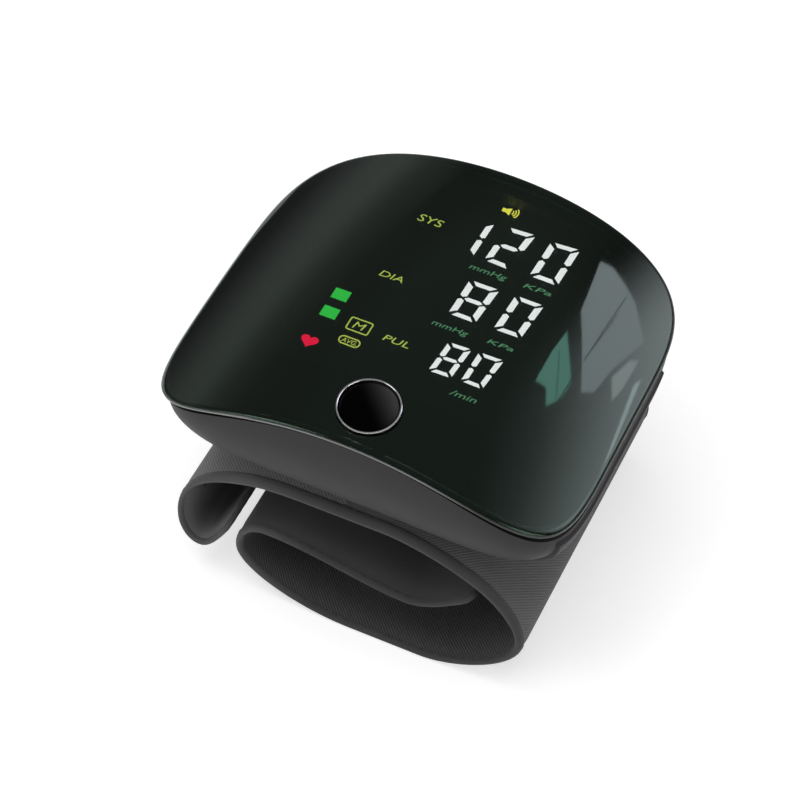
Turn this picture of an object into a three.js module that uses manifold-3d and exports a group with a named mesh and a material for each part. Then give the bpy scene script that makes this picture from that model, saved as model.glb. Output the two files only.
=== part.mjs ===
// Wrist blood pressure monitor: an arched housing with a flat display under a smoked cover,
// standing on its spiral fabric cuff. Millimetres, +Z up, X to the right of the display,
// +Y towards its top edge. The cuff rests on Z = 0 and the housing is centred on X = Y = 0.

import * as THREE from 'three';
import { mergeVertices } from 'three/addons/utils/BufferGeometryUtils.js';
import Module from 'manifold-3d';

const wasm = await Module();
wasm.setup();

// Clearances
const seatGap = 0.3;         // between a piece and what it rests on
const slideGap = 0.25;       // between a moving piece and its guide
const layerGap = 0.1;        // between the layers of the cuff

// Housing outline: a superellipse in plan, arched along X and slightly crowned along Y
const housingWidth = 84;
const housingDepth = 72.2;
const housingThickness = 27.4;   // from the seam's highest point to the flat underside
const cornerFront = 6;
const cornerBack = 4.6;
const archRise = 14.2;
const crownRise = 1.7;
const outlinePoints = 60;

// Cover, seam trim and chassis ring, given as insets from the outline and heights over the seam
const coverTop = 0.8;
const coverThickness = 1.7;
const coverEdge = 0.1;           // height of the cover's lower edge over the seam
const coverLipInset = 1.3;
const trimInset = 0.15;
const trimWidth = 0.85;
const trimHeight = 0.45;
const chassisWidth = 1.8;
const chassisHeight = 3.4;

// Lower case: a boat-shaped shell under the seam
const caseInset = 0.5;
const caseWall = 1.6;
const seamChannel = 1.15;        // drop from the seam to the case rim at the middle
const seamChannelFlare = 1.5;    // extra drop at the left and right ends
const sideDraw = 14;             // how far the right flank draws in from rim to underside
const frontDraw = 11;
const hullFullness = 2.5;
const leftInset = 1.2;           // the left flank is slimmer than the one that holds the cells
const leftDraw = 17;
const leftFullness = 1.7;
const hullSteps = 6;

// Battery door in the right flank, and the bay behind it. Places are shares of the housing
const doorLeft = housingWidth * 0.28571;
const doorFront = housingDepth * -0.39751;
const doorBack = housingDepth * 0.241;
const doorProud = 0.45;
const doorStrip = 1.4;           // width of the case rim left above the door
const cellDiameter = housingWidth * 0.125;
const cellEndRoom = 0.8;         // from the doorway's ends to the cells' ends
const cellNub = 1.2;
const cellPitch = housingWidth * 0.13095;
const bayRight = housingWidth * 0.41429;
const trayFloor = 1.3;
const trayWall = 0.9;
const contactThickness = 0.4;
const contactHalf = 3.2;         // half the width of a contact, and its reach below the cell's axis
const contactHigh = 2.6;         // its reach above the axis

// Board, display and start button
const boardThickness = 1.5;
const boardLeft = housingWidth * -0.38095;
const boardRight = housingWidth * 0.34524;
const boardInset = 5.4;
const boardOverCells = 1.2;
const bossRadius = 2.5;
const screwRadius = 0.8;
const displayLeft = housingWidth * -0.23571;
const displayRight = housingWidth * 0.23571;
const displayFront = housingDepth * -0.24238;
const displayBack = housingDepth * 0.42382;
const displayDepth = 5.5;        // display face under the seam's highest point
const filmThickness = 0.2;
const buttonX = housingWidth * 0.02381;
const buttonY = housingDepth * -0.3795;
const buttonRadius = 5.3;
const buttonTravel = 0.8;
const ringWidth = 0.55;
const ringProud = 0.45;
const sleeveWall = 0.3;
const switchHeight = 2.2;

// Air system
const motorRadius = 5.8;
const motorLength = housingWidth * 0.16667;
const pumpHeadLength = housingWidth * 0.11905;
const pumpY = housingDepth * 0.28393;
const pumpLeft = housingWidth * -0.28571;
const valveRadius = 4.6;
const valveLength = 12;
const valveX = housingWidth * 0.06548;
const nozzleRadius = 1.25;
const nozzleLength = 3;
const tubeOuter = 2.3;
const tubeInner = 1.5;
const manifoldX = housingWidth * -0.09524;
const manifoldBehind = 14.5;     // from the pump's axis to the manifold's
const manifoldY = pumpY - manifoldBehind;
const manifoldLength = housingWidth * 0.19048;
const manifoldSize = 5;
const portX = housingWidth * -0.02381;
const portBehind = 10;           // from the manifold's axis to the cuff port's
const portY = manifoldY - portBehind;
const portRadius = 3;
const sensorX = housingWidth * -0.26786;
const sensorSize = 8;
const sensorHeight = 4;
const speakerX = housingWidth * -0.16667;
const speakerBehind = 7;
const speakerY = portY - speakerBehind;
const speakerRadius = 8;
const speakerHeight = 4.2;

// Cuff: one fabric band that spirals in the XZ plane, with its middle line in named points
const bandThickness = 2.6;
const cuffWidth = 64;
const skinThickness = 0.6;
const bindingWidth = 1.7;
const strapUnderside = 34.8;     // height of the strap's lower face under the housing
const loopRight = 33.9;
const loopLeft = -23.9;
const footLeft = -1;             // flat stretch that the cuff stands on
const footRight = 14;
const tailLeft = -36.4;
const tailLow = 9.75;
const tailMouth = 17.8;          // drop from the strap to the tail's free end
const tailGap = 0.8;             // between the tail's free end and the loop beside it
const tailShare = 0.42;          // thickness of the tail's end, as a share of the padded strap's
const tailThinDrop = 11;         // fall below the strap over which the tail thins
const wrapShare = 0.5;           // the same for the wrap
const wrapThinDrop = 29;
const hingeGap = 0.3;
const coreGap = 0.25;            // between the cloth and what it covers
const coreMargin = 1.3;          // how far the inner layers stop short of a stretch's ends
const patchThickness = 0.5;
const patchWidth = 46;

// Values that follow from the sizes above
const halfWidth = housingWidth / 2;
const halfDepth = housingDepth / 2;
const halfBand = bandThickness / 2;
const strapHeight = strapUnderside + halfBand;
const caseBottom = strapUnderside + bandThickness + seatGap;
const seamTop = caseBottom + housingThickness;
const floorHeight = caseBottom + caseWall;
const coverDrop = coverThickness - coverTop;
const chassisInset = caseInset + caseWall + 0.7;
const chassisTop = -coverDrop - 0.2;
const cellHeight = floorHeight + seatGap + trayFloor + slideGap + cellDiameter / 2;
const boardBottom = cellHeight + cellDiameter / 2 + boardOverCells;
const boardTop = boardBottom + boardThickness;
const displayTop = seamTop - displayDepth;
const cellX = [bayRight - slideGap - cellDiameter / 2, bayRight - slideGap - cellDiameter / 2 - cellPitch];
const cellMiddle = (doorFront + doorBack) / 2;
const cellLength = doorBack - doorFront - 2 * cellEndRoom;
const cellEnd = cellMiddle + cellLength / 2;
const cellStart = cellMiddle - cellLength / 2;

// Geometry helpers

// Merges shared corners, drops flat triangles and turns the faces outwards.
function clean(geometry) {
  const bare = new THREE.BufferGeometry();
  bare.setAttribute('position', geometry.getAttribute('position').clone());
  if (geometry.index) {
    bare.setIndex(geometry.index.clone());
  }
  const merged = mergeVertices(bare, 1e-4);
  const source = merged.index.array;
  const kept = [];
  for (let i = 0; i < source.length; i += 3) {
    const [a, b, c] = [source[i], source[i + 1], source[i + 2]];
    if (a !== b && b !== c && a !== c) {
      kept.push(a, b, c);
    }
  }
  const position = merged.getAttribute('position');
  const corners = [new THREE.Vector3(), new THREE.Vector3(), new THREE.Vector3()];
  let volume = 0;
  for (let i = 0; i < kept.length; i += 3) {
    corners.forEach((corner, k) => corner.fromBufferAttribute(position, kept[i + k]));
    volume += corners[0].dot(corners[1].clone().cross(corners[2]));
  }
  if (volume < 0) {
    for (let i = 0; i < kept.length; i += 3) {
      [kept[i + 1], kept[i + 2]] = [kept[i + 2], kept[i + 1]];
    }
  }
  merged.setIndex(kept);
  return merged;
}

function solidOf(geometry) {
  const tidy = clean(geometry);
  return new wasm.Manifold(new wasm.Mesh({
    numProp: 3,
    vertProperties: new Float32Array(tidy.getAttribute('position').array),
    triVerts: new Uint32Array(tidy.index.array),
  }));
}

function geometryOf(solid) {
  const mesh = solid.getMesh();
  const geometry = new THREE.BufferGeometry();
  geometry.setAttribute('position', new THREE.BufferAttribute(mesh.vertProperties, 3));
  geometry.setIndex(new THREE.BufferAttribute(mesh.triVerts, 1));
  return geometry;
}

function cut(base, ...tools) {
  return geometryOf(tools.reduce((solid, tool) => solid.subtract(solidOf(tool)), solidOf(base)));
}

function join(base, ...others) {
  return geometryOf(others.reduce((solid, other) => solid.add(solidOf(other)), solidOf(base)));
}

function common(base, ...others) {
  return geometryOf(others.reduce((solid, other) => solid.intersect(solidOf(other)), solidOf(base)));
}

function block(x0, x1, y0, y1, z0, z1) {
  return new THREE.BoxGeometry(x1 - x0, y1 - y0, z1 - z0)
    .translate((x0 + x1) / 2, (y0 + y1) / 2, (z0 + z1) / 2);
}

function post(radius, x, y, z0, z1, sides = 16) {
  return new THREE.CylinderGeometry(radius, radius, z1 - z0, sides)
    .rotateX(Math.PI / 2)
    .translate(x, y, (z0 + z1) / 2);
}

function rodAlongX(radius, x0, x1, y, z, sides = 16) {
  return new THREE.CylinderGeometry(radius, radius, x1 - x0, sides)
    .rotateZ(Math.PI / 2)
    .translate((x0 + x1) / 2, y, z);
}

function rodAlongY(radius, y0, y1, x, z, sides = 16) {
  return new THREE.CylinderGeometry(radius, radius, y1 - y0, sides)
    .translate(x, (y0 + y1) / 2, z);
}

function turned(profile, sides) {
  return clean(new THREE.LatheGeometry(profile.map(([r, z]) => new THREE.Vector2(r, z)), sides))
    .rotateX(Math.PI / 2);
}

// Joins rings of points into a skin, closed by a fan at each end or looped on itself.
function loft(rings, ends) {
  const count = rings[0].length;
  const points = rings.flat();
  const faces = [];
  const spans = ends ? rings.length - 1 : rings.length;
  for (let k = 0; k < spans; k++) {
    const low = k * count;
    const high = ((k + 1) % rings.length) * count;
    for (let i = 0; i < count; i++) {
      const j = (i + 1) % count;
      faces.push(low + i, low + j, high + j, low + i, high + j, high + i);
    }
  }
  if (ends) {
    const last = (rings.length - 1) * count;
    const [first, second] = [points.length, points.length + 1];
    points.push(...ends);
    for (let i = 0; i < count; i++) {
      const j = (i + 1) % count;
      faces.push(first, j, i, second, last + i, last + j);
    }
  }
  const geometry = new THREE.BufferGeometry().setFromPoints(points);
  geometry.setIndex(faces);
  return clean(geometry);
}

// Housing shape

function archHeight(x, y) {
  return seamTop - archRise * (x / halfWidth) ** 2 - crownRise * (y / halfDepth) ** 2;
}

function rimHeight(x, y) {
  return archHeight(x, y) - seamChannel - seamChannelFlare * (x / halfWidth) ** 2;
}

// Point of the plan outline at an angle, for the given half sizes.
function planPoint(angle, halfX, halfY) {
  const [c, s] = [Math.cos(angle), Math.sin(angle)];
  const power = s < 0 ? cornerFront : cornerBack;
  const reach = (Math.abs(c / halfX) ** power + Math.abs(s / halfY) ** power) ** (-1 / power);
  return new THREE.Vector2(reach * c, reach * s);
}

function outlineAngles() {
  return Array.from({ length: outlinePoints }, (_, i) => (i / outlinePoints) * Math.PI * 2);
}

function planOutline(halfX, halfY) {
  return outlineAngles().map((angle) => planPoint(angle, halfX, halfY));
}

// A ring on the arch, inset from the outline, raised over the seam and shrunk to a share.
function archRing(inset, raise, share = 1) {
  return planOutline(halfWidth - inset, halfDepth - inset).map((p) => {
    const [x, y] = [p.x * share, p.y * share];
    return new THREE.Vector3(x, y, archHeight(x, y) + raise);
  });
}

function archCentre(raise) {
  return new THREE.Vector3(0, 0, archHeight(0, 0) + raise);
}

// A closed band that follows the seam, from a profile of [inset, height over the seam].
function seamBand(profile) {
  return loft(profile.map(([inset, raise]) => archRing(inset, raise)));
}

// The boat-shaped body of the case, grown by an offset and raised at its rim.
function hull(offset, raise) {
  const sides = outlineAngles().map((angle) => {
    const left = Math.cos(angle) < 0;
    const leftShare = left ? Math.cos(angle) ** 2 : 0;
    const halfX = halfWidth - (left ? leftInset : caseInset) + offset;
    const power = 2 / THREE.MathUtils.lerp(hullFullness, leftFullness, leftShare);
    return { angle, halfX, draw: left ? leftDraw : sideDraw, power };
  });
  const halfY = halfDepth - caseInset + offset;
  const rim = sides.map(({ angle, halfX }) => {
    const p = planPoint(angle, halfX, halfY);
    return new THREE.Vector3(p.x, p.y, rimHeight(p.x, p.y));
  });
  const rings = [rim.map((p) => p.clone().setZ(p.z + raise))];
  for (let k = raise > 0 ? 0 : 1; k <= hullSteps; k++) {
    const turn = (k / hullSteps) * Math.PI / 2;
    rings.push(sides.map(({ angle, halfX, draw, power }, i) => {
      const drawn = 1 - Math.cos(turn) ** power;
      const fall = Math.sin(turn) ** power;
      const p = planPoint(angle, halfX - draw * drawn, halfY - frontDraw * drawn);
      return new THREE.Vector3(p.x, p.y, THREE.MathUtils.lerp(rim[i].z, caseBottom - offset, fall));
    }));
  }
  const top = new THREE.Vector3(0, 0, rimHeight(0, 0) + raise);
  return loft(rings, [top, new THREE.Vector3(0, 0, caseBottom - offset)]);
}

// Trims a piece to the room inside the case.
function insideCase(geometry) {
  return common(geometry, hull(-caseWall - seatGap, 8));
}

// A block whose upper face follows a height function of x and y.
function blockUnder(x0, x1, y0, y1, z0, height) {
  const [columns, rows] = [14, 8];
  const geometry = new THREE.BoxGeometry(x1 - x0, y1 - y0, 1, columns, rows, 1);
  geometry.translate((x0 + x1) / 2, (y0 + y1) / 2, 0);
  const position = geometry.getAttribute('position');
  for (let i = 0; i < position.count; i++) {
    const [x, y] = [position.getX(i), position.getY(i)];
    position.setZ(i, position.getZ(i) > 0 ? height(x, y) : z0);
  }
  return geometry;
}

function underCover(gap) {
  return blockUnder(-halfWidth, halfWidth, -halfDepth, halfDepth, 0,
    (x, y) => archHeight(x, y) - coverDrop - gap);
}

// An upright block in the plan outline, without the points that lie on its near-straight sides.
function prism(inset, z0, z1) {
  const flatness = 0.03;
  const all = planOutline(halfWidth - inset, halfDepth - inset);
  const kept = all.filter((p, i) => {
    const before = all[(i + all.length - 1) % all.length];
    const along = all[(i + 1) % all.length].clone().sub(before);
    return Math.abs(along.cross(p.clone().sub(before))) / along.length() > flatness;
  });
  const shape = new THREE.Shape(kept);
  return new THREE.ExtrudeGeometry(shape, { depth: z1 - z0, bevelEnabled: false }).translate(0, 0, z0);
}

// Cuff shape

// Middle line of the band as three stretches: curled tail, strap under the housing, and wrap.
function bandPaths() {
  const footHeight = halfBand;
  const wide = (loopRight - loopLeft) / 100;
  const tall = strapHeight / 100;
  const tailTall = (strapHeight - tailLow) / 100;
  const tailWide = (loopLeft - tailLeft) / 100;
  const tailHinge = new THREE.Vector2(loopLeft - 23.2 * tailWide, strapHeight - 9.94 * tall);
  const tailSlope = new THREE.Vector2(0.88, 0.47).multiplyScalar(wide);
  const wrapHinge = new THREE.Vector2(loopRight - 10.9 * wide, strapHeight - 21.08 * tall);
  const wrapSlope = new THREE.Vector2(0.75, -0.66).multiplyScalar(wide);

  const tail = new THREE.Path();
  const tip = new THREE.Vector2(loopLeft - 1.9 * halfBand - tailGap, strapHeight - tailMouth);
  const tailFloor = tailLeft + 24.8 * tailWide;
  const tailSide = tailLow + 23.18 * tailTall;
  tail.moveTo(tip.x, tip.y);
  tail.bezierCurveTo(tip.x - 17.6 * tailWide, tip.y - 15.32 * tailTall, tailLeft + 37.6 * tailWide, tailLow,
    tailFloor, tailLow);
  tail.bezierCurveTo(tailLeft + 10.4 * tailWide, tailLow, tailLeft, tailLow + 10.61 * tailTall,
    tailLeft, tailSide);
  tail.bezierCurveTo(tailLeft, tailLow + 51.08 * tailTall,
    tailHinge.x - 11.25 * tailSlope.x, tailHinge.y - 11.25 * tailSlope.y, tailHinge.x, tailHinge.y);

  const strap = new THREE.Path();
  strap.moveTo(tailHinge.x, tailHinge.y);
  strap.bezierCurveTo(tailHinge.x + 10.38 * tailSlope.x, tailHinge.y + 10.38 * tailSlope.y,
    loopLeft + 11.94 * wide, strapHeight, loopLeft + 24.05 * wide, strapHeight);
  strap.lineTo(loopRight - 48.27 * wide, strapHeight);
  strap.bezierCurveTo(loopRight - 34.43 * wide, strapHeight,
    wrapHinge.x - 8.65 * wrapSlope.x, wrapHinge.y - 8.65 * wrapSlope.y, wrapHinge.x, wrapHinge.y);

  const wrap = new THREE.Path();
  const leftBend = strapHeight - 63.25 * tall;
  const innerDip = strapHeight - 56 * tall;
  wrap.moveTo(wrapHinge.x, wrapHinge.y);
  wrap.bezierCurveTo(wrapHinge.x + 7.79 * wrapSlope.x, wrapHinge.y + 7.79 * wrapSlope.y,
    loopRight, strapHeight - 40.66 * tall, loopRight, strapHeight - 54.22 * tall);
  wrap.bezierCurveTo(loopRight, strapHeight - 73.8 * tall, footRight + 12.98 * wide, footHeight,
    footRight, footHeight);
  wrap.lineTo(footLeft, footHeight);
  wrap.bezierCurveTo(footLeft - 20 * wide, footHeight, loopLeft, footHeight + 17 * tall,
    loopLeft, leftBend);
  wrap.bezierCurveTo(loopLeft, strapHeight - 52.41 * tall, loopLeft + 4.15 * wide, strapHeight - 43.98 * tall,
    loopLeft + 9.17 * wide, strapHeight - 43.67 * tall);
  wrap.bezierCurveTo(loopLeft + 24.74 * wide, strapHeight - 41.87 * tall, loopRight - 53.46 * wide, innerDip,
    loopRight - 39.62 * wide, innerDip);
  wrap.bezierCurveTo(loopRight - 30.97 * wide, innerDip, loopRight - 21.8 * wide, strapHeight - 40.96 * tall,
    loopRight - 14.71 * wide, strapHeight - 31.93 * tall);
  return { tail, strap, wrap };
}

// Thickness of the band at points of a stretch: full in the padded strap, and thinner on the way out.
function thickness(name, points) {
  const { lerp, smoothstep } = THREE.MathUtils;
  const ease = (p, share, drop) => lerp(1, share, smoothstep(strapHeight - p.y, 0, drop));
  const tailEase = (p) => ease(p, tailShare, tailThinDrop);
  const wrapEase = (p) => ease(p, wrapShare, wrapThinDrop);
  if (name === 'strap') {
    return points.map((p) => (p.x < footLeft ? tailEase(p) : wrapEase(p)));
  }
  const outwards = name === 'tail' ? points.map(tailEase).reverse() : points.map(wrapEase);
  const thinned = outwards.map((share, i) => Math.min(...outwards.slice(0, i + 1)));
  return name === 'tail' ? thinned.reverse() : thinned;
}

// Points along a stretch with the outward direction at each, shortened at its ends.
function stations(name, path, divisions, startGap, endGap) {
  const shortest = 0.5;
  const points = path.getPoints(divisions);
  const shares = thickness(name, points);
  const last = points.length - 1;
  const [start, end] = [points[0].clone(), points[last].clone()];
  const tangents = points.map((p, i) => points[Math.min(i + 1, last)].clone()
    .sub(points[Math.max(i - 1, 0)]).normalize());
  points[0].addScaledVector(tangents[0], startGap);
  points[last].addScaledVector(tangents[last], -endGap);
  const stops = points.map((p, i) => {
    const out = new THREE.Vector2(-tangents[i].y, tangents[i].x);
    return { point: p, along: tangents[i], out, share: shares[i] };
  });
  return stops.filter(({ point }, i) => i === 0 || i === last
    || (point.distanceTo(start) > startGap + shortest && point.distanceTo(end) > endGap + shortest));
}

// Offset from the band's middle line where the band is thinner: its outer face stays in place.
function squeezed(offset, share) {
  return halfBand - (halfBand - offset) * share;
}

// Sweeps a section of [outward offset, y] points along stations of the band.
function bandSweep(stops, section) {
  const rings = stops.map(({ point, out, share }) => section.map(([offset, y]) => {
    const raised = squeezed(offset, share);
    return new THREE.Vector3(point.x + out.x * raised, y, point.y + out.y * raised);
  }));
  const middle = (ring) => ring.reduce((sum, p) => sum.add(p), new THREE.Vector3()).divideScalar(ring.length);
  return loft(rings, [middle(rings[0]), middle(rings[rings.length - 1])]);
}

function layer(stops, low, high, width) {
  return bandSweep(stops, [[low, -width / 2], [low, width / 2], [high, width / 2], [high, -width / 2]]);
}

// Rounded tape along one edge of the band. Side is -1 at the front and 1 at the back.
function binding(stops, side) {
  const inner = cuffWidth / 2 - bindingWidth;
  const section = [[-halfBand, side * inner]];
  const arcSteps = 4;
  for (let k = 0; k <= arcSteps; k++) {
    const angle = (k / arcSteps - 0.5) * Math.PI;
    section.push([halfBand * Math.sin(angle), side * (cuffWidth / 2 - halfBand * (1 - Math.cos(angle)))]);
  }
  section.push([halfBand, side * inner]);
  return bandSweep(stops, section);
}

// Rounded tape across a free end of the band, between the tapes of its long edges. Way is 1 when
// the band's direction leaves it there and -1 when it enters.
function endBinding({ point, along, out, share }, way, width) {
  const arcSteps = 4;
  const profile = [[-bindingWidth, -halfBand]];
  for (let k = 0; k <= arcSteps; k++) {
    const angle = (k / arcSteps - 0.5) * Math.PI;
    profile.push([halfBand * share * (Math.cos(angle) - 1), halfBand * Math.sin(angle)]);
  }
  profile.push([-bindingWidth, halfBand]);
  const corners = profile.map(([reach, offset]) => point.clone()
    .addScaledVector(along, way * reach).addScaledVector(out, squeezed(offset, share)));
  const middle = point.clone().addScaledVector(along, -way * bindingWidth / 2)
    .addScaledVector(out, squeezed(0, share));
  const rings = [-width / 2, width / 2].map((y) => corners.map((p) => new THREE.Vector3(p.x, y, p.y)));
  return loft(rings, rings.map((ring) => new THREE.Vector3(middle.x, ring[0].y, middle.y)));
}

// Assembly

const monitor = new THREE.Group();

function add(name, geometry, [colour, roughness, metalness], parent = monitor) {
  const material = new THREE.MeshStandardMaterial({ color: colour, roughness, metalness });
  const mesh = new THREE.Mesh(clean(geometry), material);
  mesh.name = name;
  parent.add(mesh);
  return mesh;
}

// Finishes as colour, roughness, metalness
const smokedGloss = [0x0c0f0d, 0.06, 0];
const chrome = [0xd8dadb, 0.18, 1];
const darkPlastic = [0x2c2c2d, 0.5, 0];
const casePlastic = [0x3e3e3e, 0.55, 0];
const blackGloss = [0x060606, 0.08, 0];
const boardGreen = [0x1c5a35, 0.5, 0];
const displayBlack = [0x0a0a0a, 0.4, 0];
const steel = [0xb9bcbf, 0.35, 1];
const silicone = [0xb8bcb9, 0.6, 0];
const whitePlastic = [0xd9d9d4, 0.5, 0];
const cellSleeve = [0x2f5d8a, 0.4, 0.3];
const outerCloth = [0x4a4a4b, 0.9, 0];
const liningCloth = [0x3a3a3b, 0.95, 0];
const bindingTape = [0x444445, 0.8, 0];
const hookTape = [0x252526, 0.95, 0];
const bladderFilm = [0x8a8d90, 0.5, 0];

// The button's axis is square to the cover where it comes through.
const buttonNormal = new THREE.Vector3(
  2 * archRise * buttonX / halfWidth ** 2, 2 * crownRise * buttonY / halfDepth ** 2, 1).normalize();
const buttonGroup = new THREE.Group();
buttonGroup.position.set(buttonX, buttonY, archHeight(buttonX, buttonY) + coverTop);
buttonGroup.quaternion.setFromUnitVectors(new THREE.Vector3(0, 0, 1), buttonNormal);
buttonGroup.updateMatrixWorld(true);
monitor.add(buttonGroup);

const ringInner = buttonRadius + slideGap;
const ringOuter = ringInner + ringWidth;
const sleeveRadius = ringInner + sleeveWall;
const sleeveEnd = -coverThickness - 0.8;

function buildHousing() {
  const lipRaise = -coverDrop;
  const coverSkin = loft([
    archRing(coverLipInset, lipRaise, 0.3),
    archRing(coverLipInset, lipRaise, 0.55),
    archRing(coverLipInset, lipRaise, 0.8),
    archRing(coverLipInset, lipRaise),
    archRing(coverLipInset, coverEdge),
    archRing(0.25, coverEdge),
    archRing(0, coverEdge + 0.25),
    archRing(0.2, coverTop - 0.15),
    archRing(0.8, coverTop),
    archRing(0.8, coverTop, 0.8),
    archRing(0.8, coverTop, 0.55),
    archRing(0.8, coverTop, 0.3),
  ], [archCentre(lipRaise), archCentre(coverTop)]);
  const buttonHole = (radius) => post(radius, 0, 0, -8, 4, 24).applyMatrix4(buttonGroup.matrixWorld);
  add('top_cover', cut(coverSkin, buttonHole(sleeveRadius + 0.15)), smokedGloss);

  const trimTop = coverEdge - 0.2;
  const trimInner = trimInset + trimWidth;
  add('seam_trim', seamBand([
    [trimInset, trimTop], [trimInner, trimTop], [trimInner, trimTop - trimHeight], [trimInset, trimTop - trimHeight],
  ]), chrome);

  const chassisInner = chassisInset + chassisWidth;
  const chassis = seamBand([
    [chassisInset, chassisTop], [chassisInner, chassisTop],
    [chassisInner, chassisTop - chassisHeight], [chassisInset, chassisTop - chassisHeight],
  ]);
  add('chassis_ring', insideCase(cut(chassis, buttonHole(sleeveRadius + 0.7))), darkPlastic);

  const bosses = boardFixings().map(([x, y]) => post(bossRadius, x, y, caseBottom, boardBottom - seatGap, 12));
  const pilots = boardFixings().map(([x, y]) => post(screwRadius + 0.1, x, y, boardBottom - 8, boardTop, 8));
  const soundHoles = [0, 1, 2, 3, 4, 5].map((k) => {
    const angle = k * Math.PI / 3;
    return post(0.8, speakerX + 3.6 * Math.cos(angle), speakerY + 3.6 * Math.sin(angle),
      caseBottom - 1, floorHeight + 0.2, 8);
  });
  const doorway = blockUnder(doorLeft, halfWidth + 5, doorFront, doorBack, caseBottom - 5,
    (x, y) => rimHeight(x, y) - doorStrip);
  const shell = cut(hull(0, 0), hull(-caseWall, 8), doorway);
  const fixings = common(join(...bosses), hull(-caseWall / 2, 0));
  add('lower_case', cut(join(shell, fixings), ...pilots, ...soundHoles,
    post(portRadius + seatGap, portX, portY, caseBottom - 1, floorHeight + 1, 16)), casePlastic);

  const doorBlank = blockUnder(doorLeft + slideGap, halfWidth + 5, doorFront + slideGap, doorBack - slideGap,
    caseBottom - 5, (x, y) => rimHeight(x, y) - doorStrip - slideGap);
  add('battery_door', common(cut(hull(doorProud, 0), hull(-caseWall, 8)), doorBlank), casePlastic);
}

// Where the four board screws stand, as shares of the housing's half sizes.
function boardFixings() {
  return [[-0.643, -0.582], [-0.655, 0.421], [0.195, -0.637], [0.619, 0.637]]
    .map(([across, along]) => [across * halfWidth, along * halfDepth]);
}

function buildPower() {
  const trayLeft = cellX[1] - cellDiameter / 2 - slideGap - trayWall;
  const trayEnds = [cellStart - slideGap - contactThickness - seatGap, cellEnd + slideGap + contactThickness + seatGap];
  const trayLow = floorHeight + seatGap;
  const trayHigh = cellHeight - 1.5;
  const trayRight = cellX[0];
  const trayTop = cellHeight + contactHigh;
  const [troughFront, troughBack] = [trayEnds[0] - trayWall / 2, trayEnds[1] + trayWall / 2];
  const trough = join(block(trayLeft, trayRight, troughFront, troughBack, trayLow, trayHigh),
    block(trayLeft, trayLeft + trayWall, troughFront, troughBack, trayLow, trayTop));
  const endWalls = [[trayEnds[0] - trayWall, trayEnds[0]], [trayEnds[1], trayEnds[1] + trayWall]].map(([y0, y1]) => {
    return block(trayLeft, bayRight, y0, y1, trayLow, trayTop);
  });
  const beds = cellX.map((x) => rodAlongY(cellDiameter / 2 + slideGap, trayEnds[0], trayEnds[1], x, cellHeight, 20));
  const cradle = join(cut(trough, ...beds), ...endWalls);
  add('battery_tray', insideCase(cradle), darkPlastic);

  const profile = [[0, -cellLength / 2], [cellDiameter / 2, -cellLength / 2],
    [cellDiameter / 2, cellLength / 2 - cellNub], [1.9, cellLength / 2 - cellNub],
    [1.9, cellLength / 2], [0, cellLength / 2]];
  cellX.forEach((x, k) => {
    const facing = k === 0 ? Math.PI / 2 : -Math.PI / 2;
    const cell = turned(profile, 20).rotateX(facing).translate(x, cellMiddle, cellHeight);
    add(`battery_cell_${k + 1}`, cell, cellSleeve);
    const y = cellStart - slideGap;
    const plate = block(x - contactHalf, x + contactHalf, y - contactThickness, y,
      cellHeight - contactHalf, cellHeight + contactHigh);
    add(`battery_contact_${k + 1}`, plate, steel);
  });
  const bridge = block(cellX[1] - contactHalf, cellX[0] + contactHalf,
    cellEnd + slideGap, cellEnd + slideGap + contactThickness, trayHigh + seatGap, cellHeight + contactHigh);
  add('battery_bridge_contact', bridge, steel);
}

function buildElectronics() {
  const blank = common(prism(boardInset, boardBottom, boardTop),
    block(boardLeft, boardRight, -halfDepth, halfDepth, boardBottom - 1, boardTop + 1), underCover(seatGap));
  const holes = boardFixings().map(([x, y]) => post(screwRadius + 0.2, x, y, boardBottom - 1, boardTop + 1, 8));
  add('main_board', cut(blank, ...holes), boardGreen);
  boardFixings().forEach(([x, y], k) => {
    const shank = boardThickness + 5;
    const screw = turned([[0, -shank], [screwRadius, -shank], [screwRadius, seatGap], [1.8, seatGap],
      [1.8, 1], [1.2, 1.4], [0, 1.4]], 10).translate(x, y, boardTop);
    add(`board_screw_${k + 1}`, screw, steel);
  });

  const filmLow = displayTop - filmThickness;
  const roof = underCover(seatGap);
  const bound = prism(boardInset, 0, seamTop);
  add('display_module', common(block(displayLeft, displayRight, displayFront, displayBack,
    boardTop + seatGap, filmLow - layerGap), roof, bound), displayBlack);
  add('display_film', common(block(displayLeft, displayRight, displayFront, displayBack,
    filmLow, displayTop), roof, bound), displayBlack);

  const sensorLow = boardBottom - seatGap - sensorHeight;
  const sensorBody = block(sensorX - sensorSize / 2, sensorX + sensorSize / 2,
    manifoldY - sensorSize / 2, manifoldY + sensorSize / 2, sensorLow, boardBottom - seatGap);
  add('pressure_sensor', join(sensorBody,
    post(nozzleRadius, sensorX, manifoldY, sensorLow - nozzleLength * 0.7, sensorLow + 1, 12)), whitePlastic);

  const speakerLow = floorHeight + seatGap;
  const speaker = turned([[0, 0], [speakerRadius, 0], [speakerRadius, speakerHeight * 0.6],
    [speakerRadius * 0.6, speakerHeight * 0.6], [speakerRadius * 0.6, speakerHeight], [0, speakerHeight]], 24);
  add('speaker', insideCase(speaker.translate(speakerX, speakerY, speakerLow)), steel);
}

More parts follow.
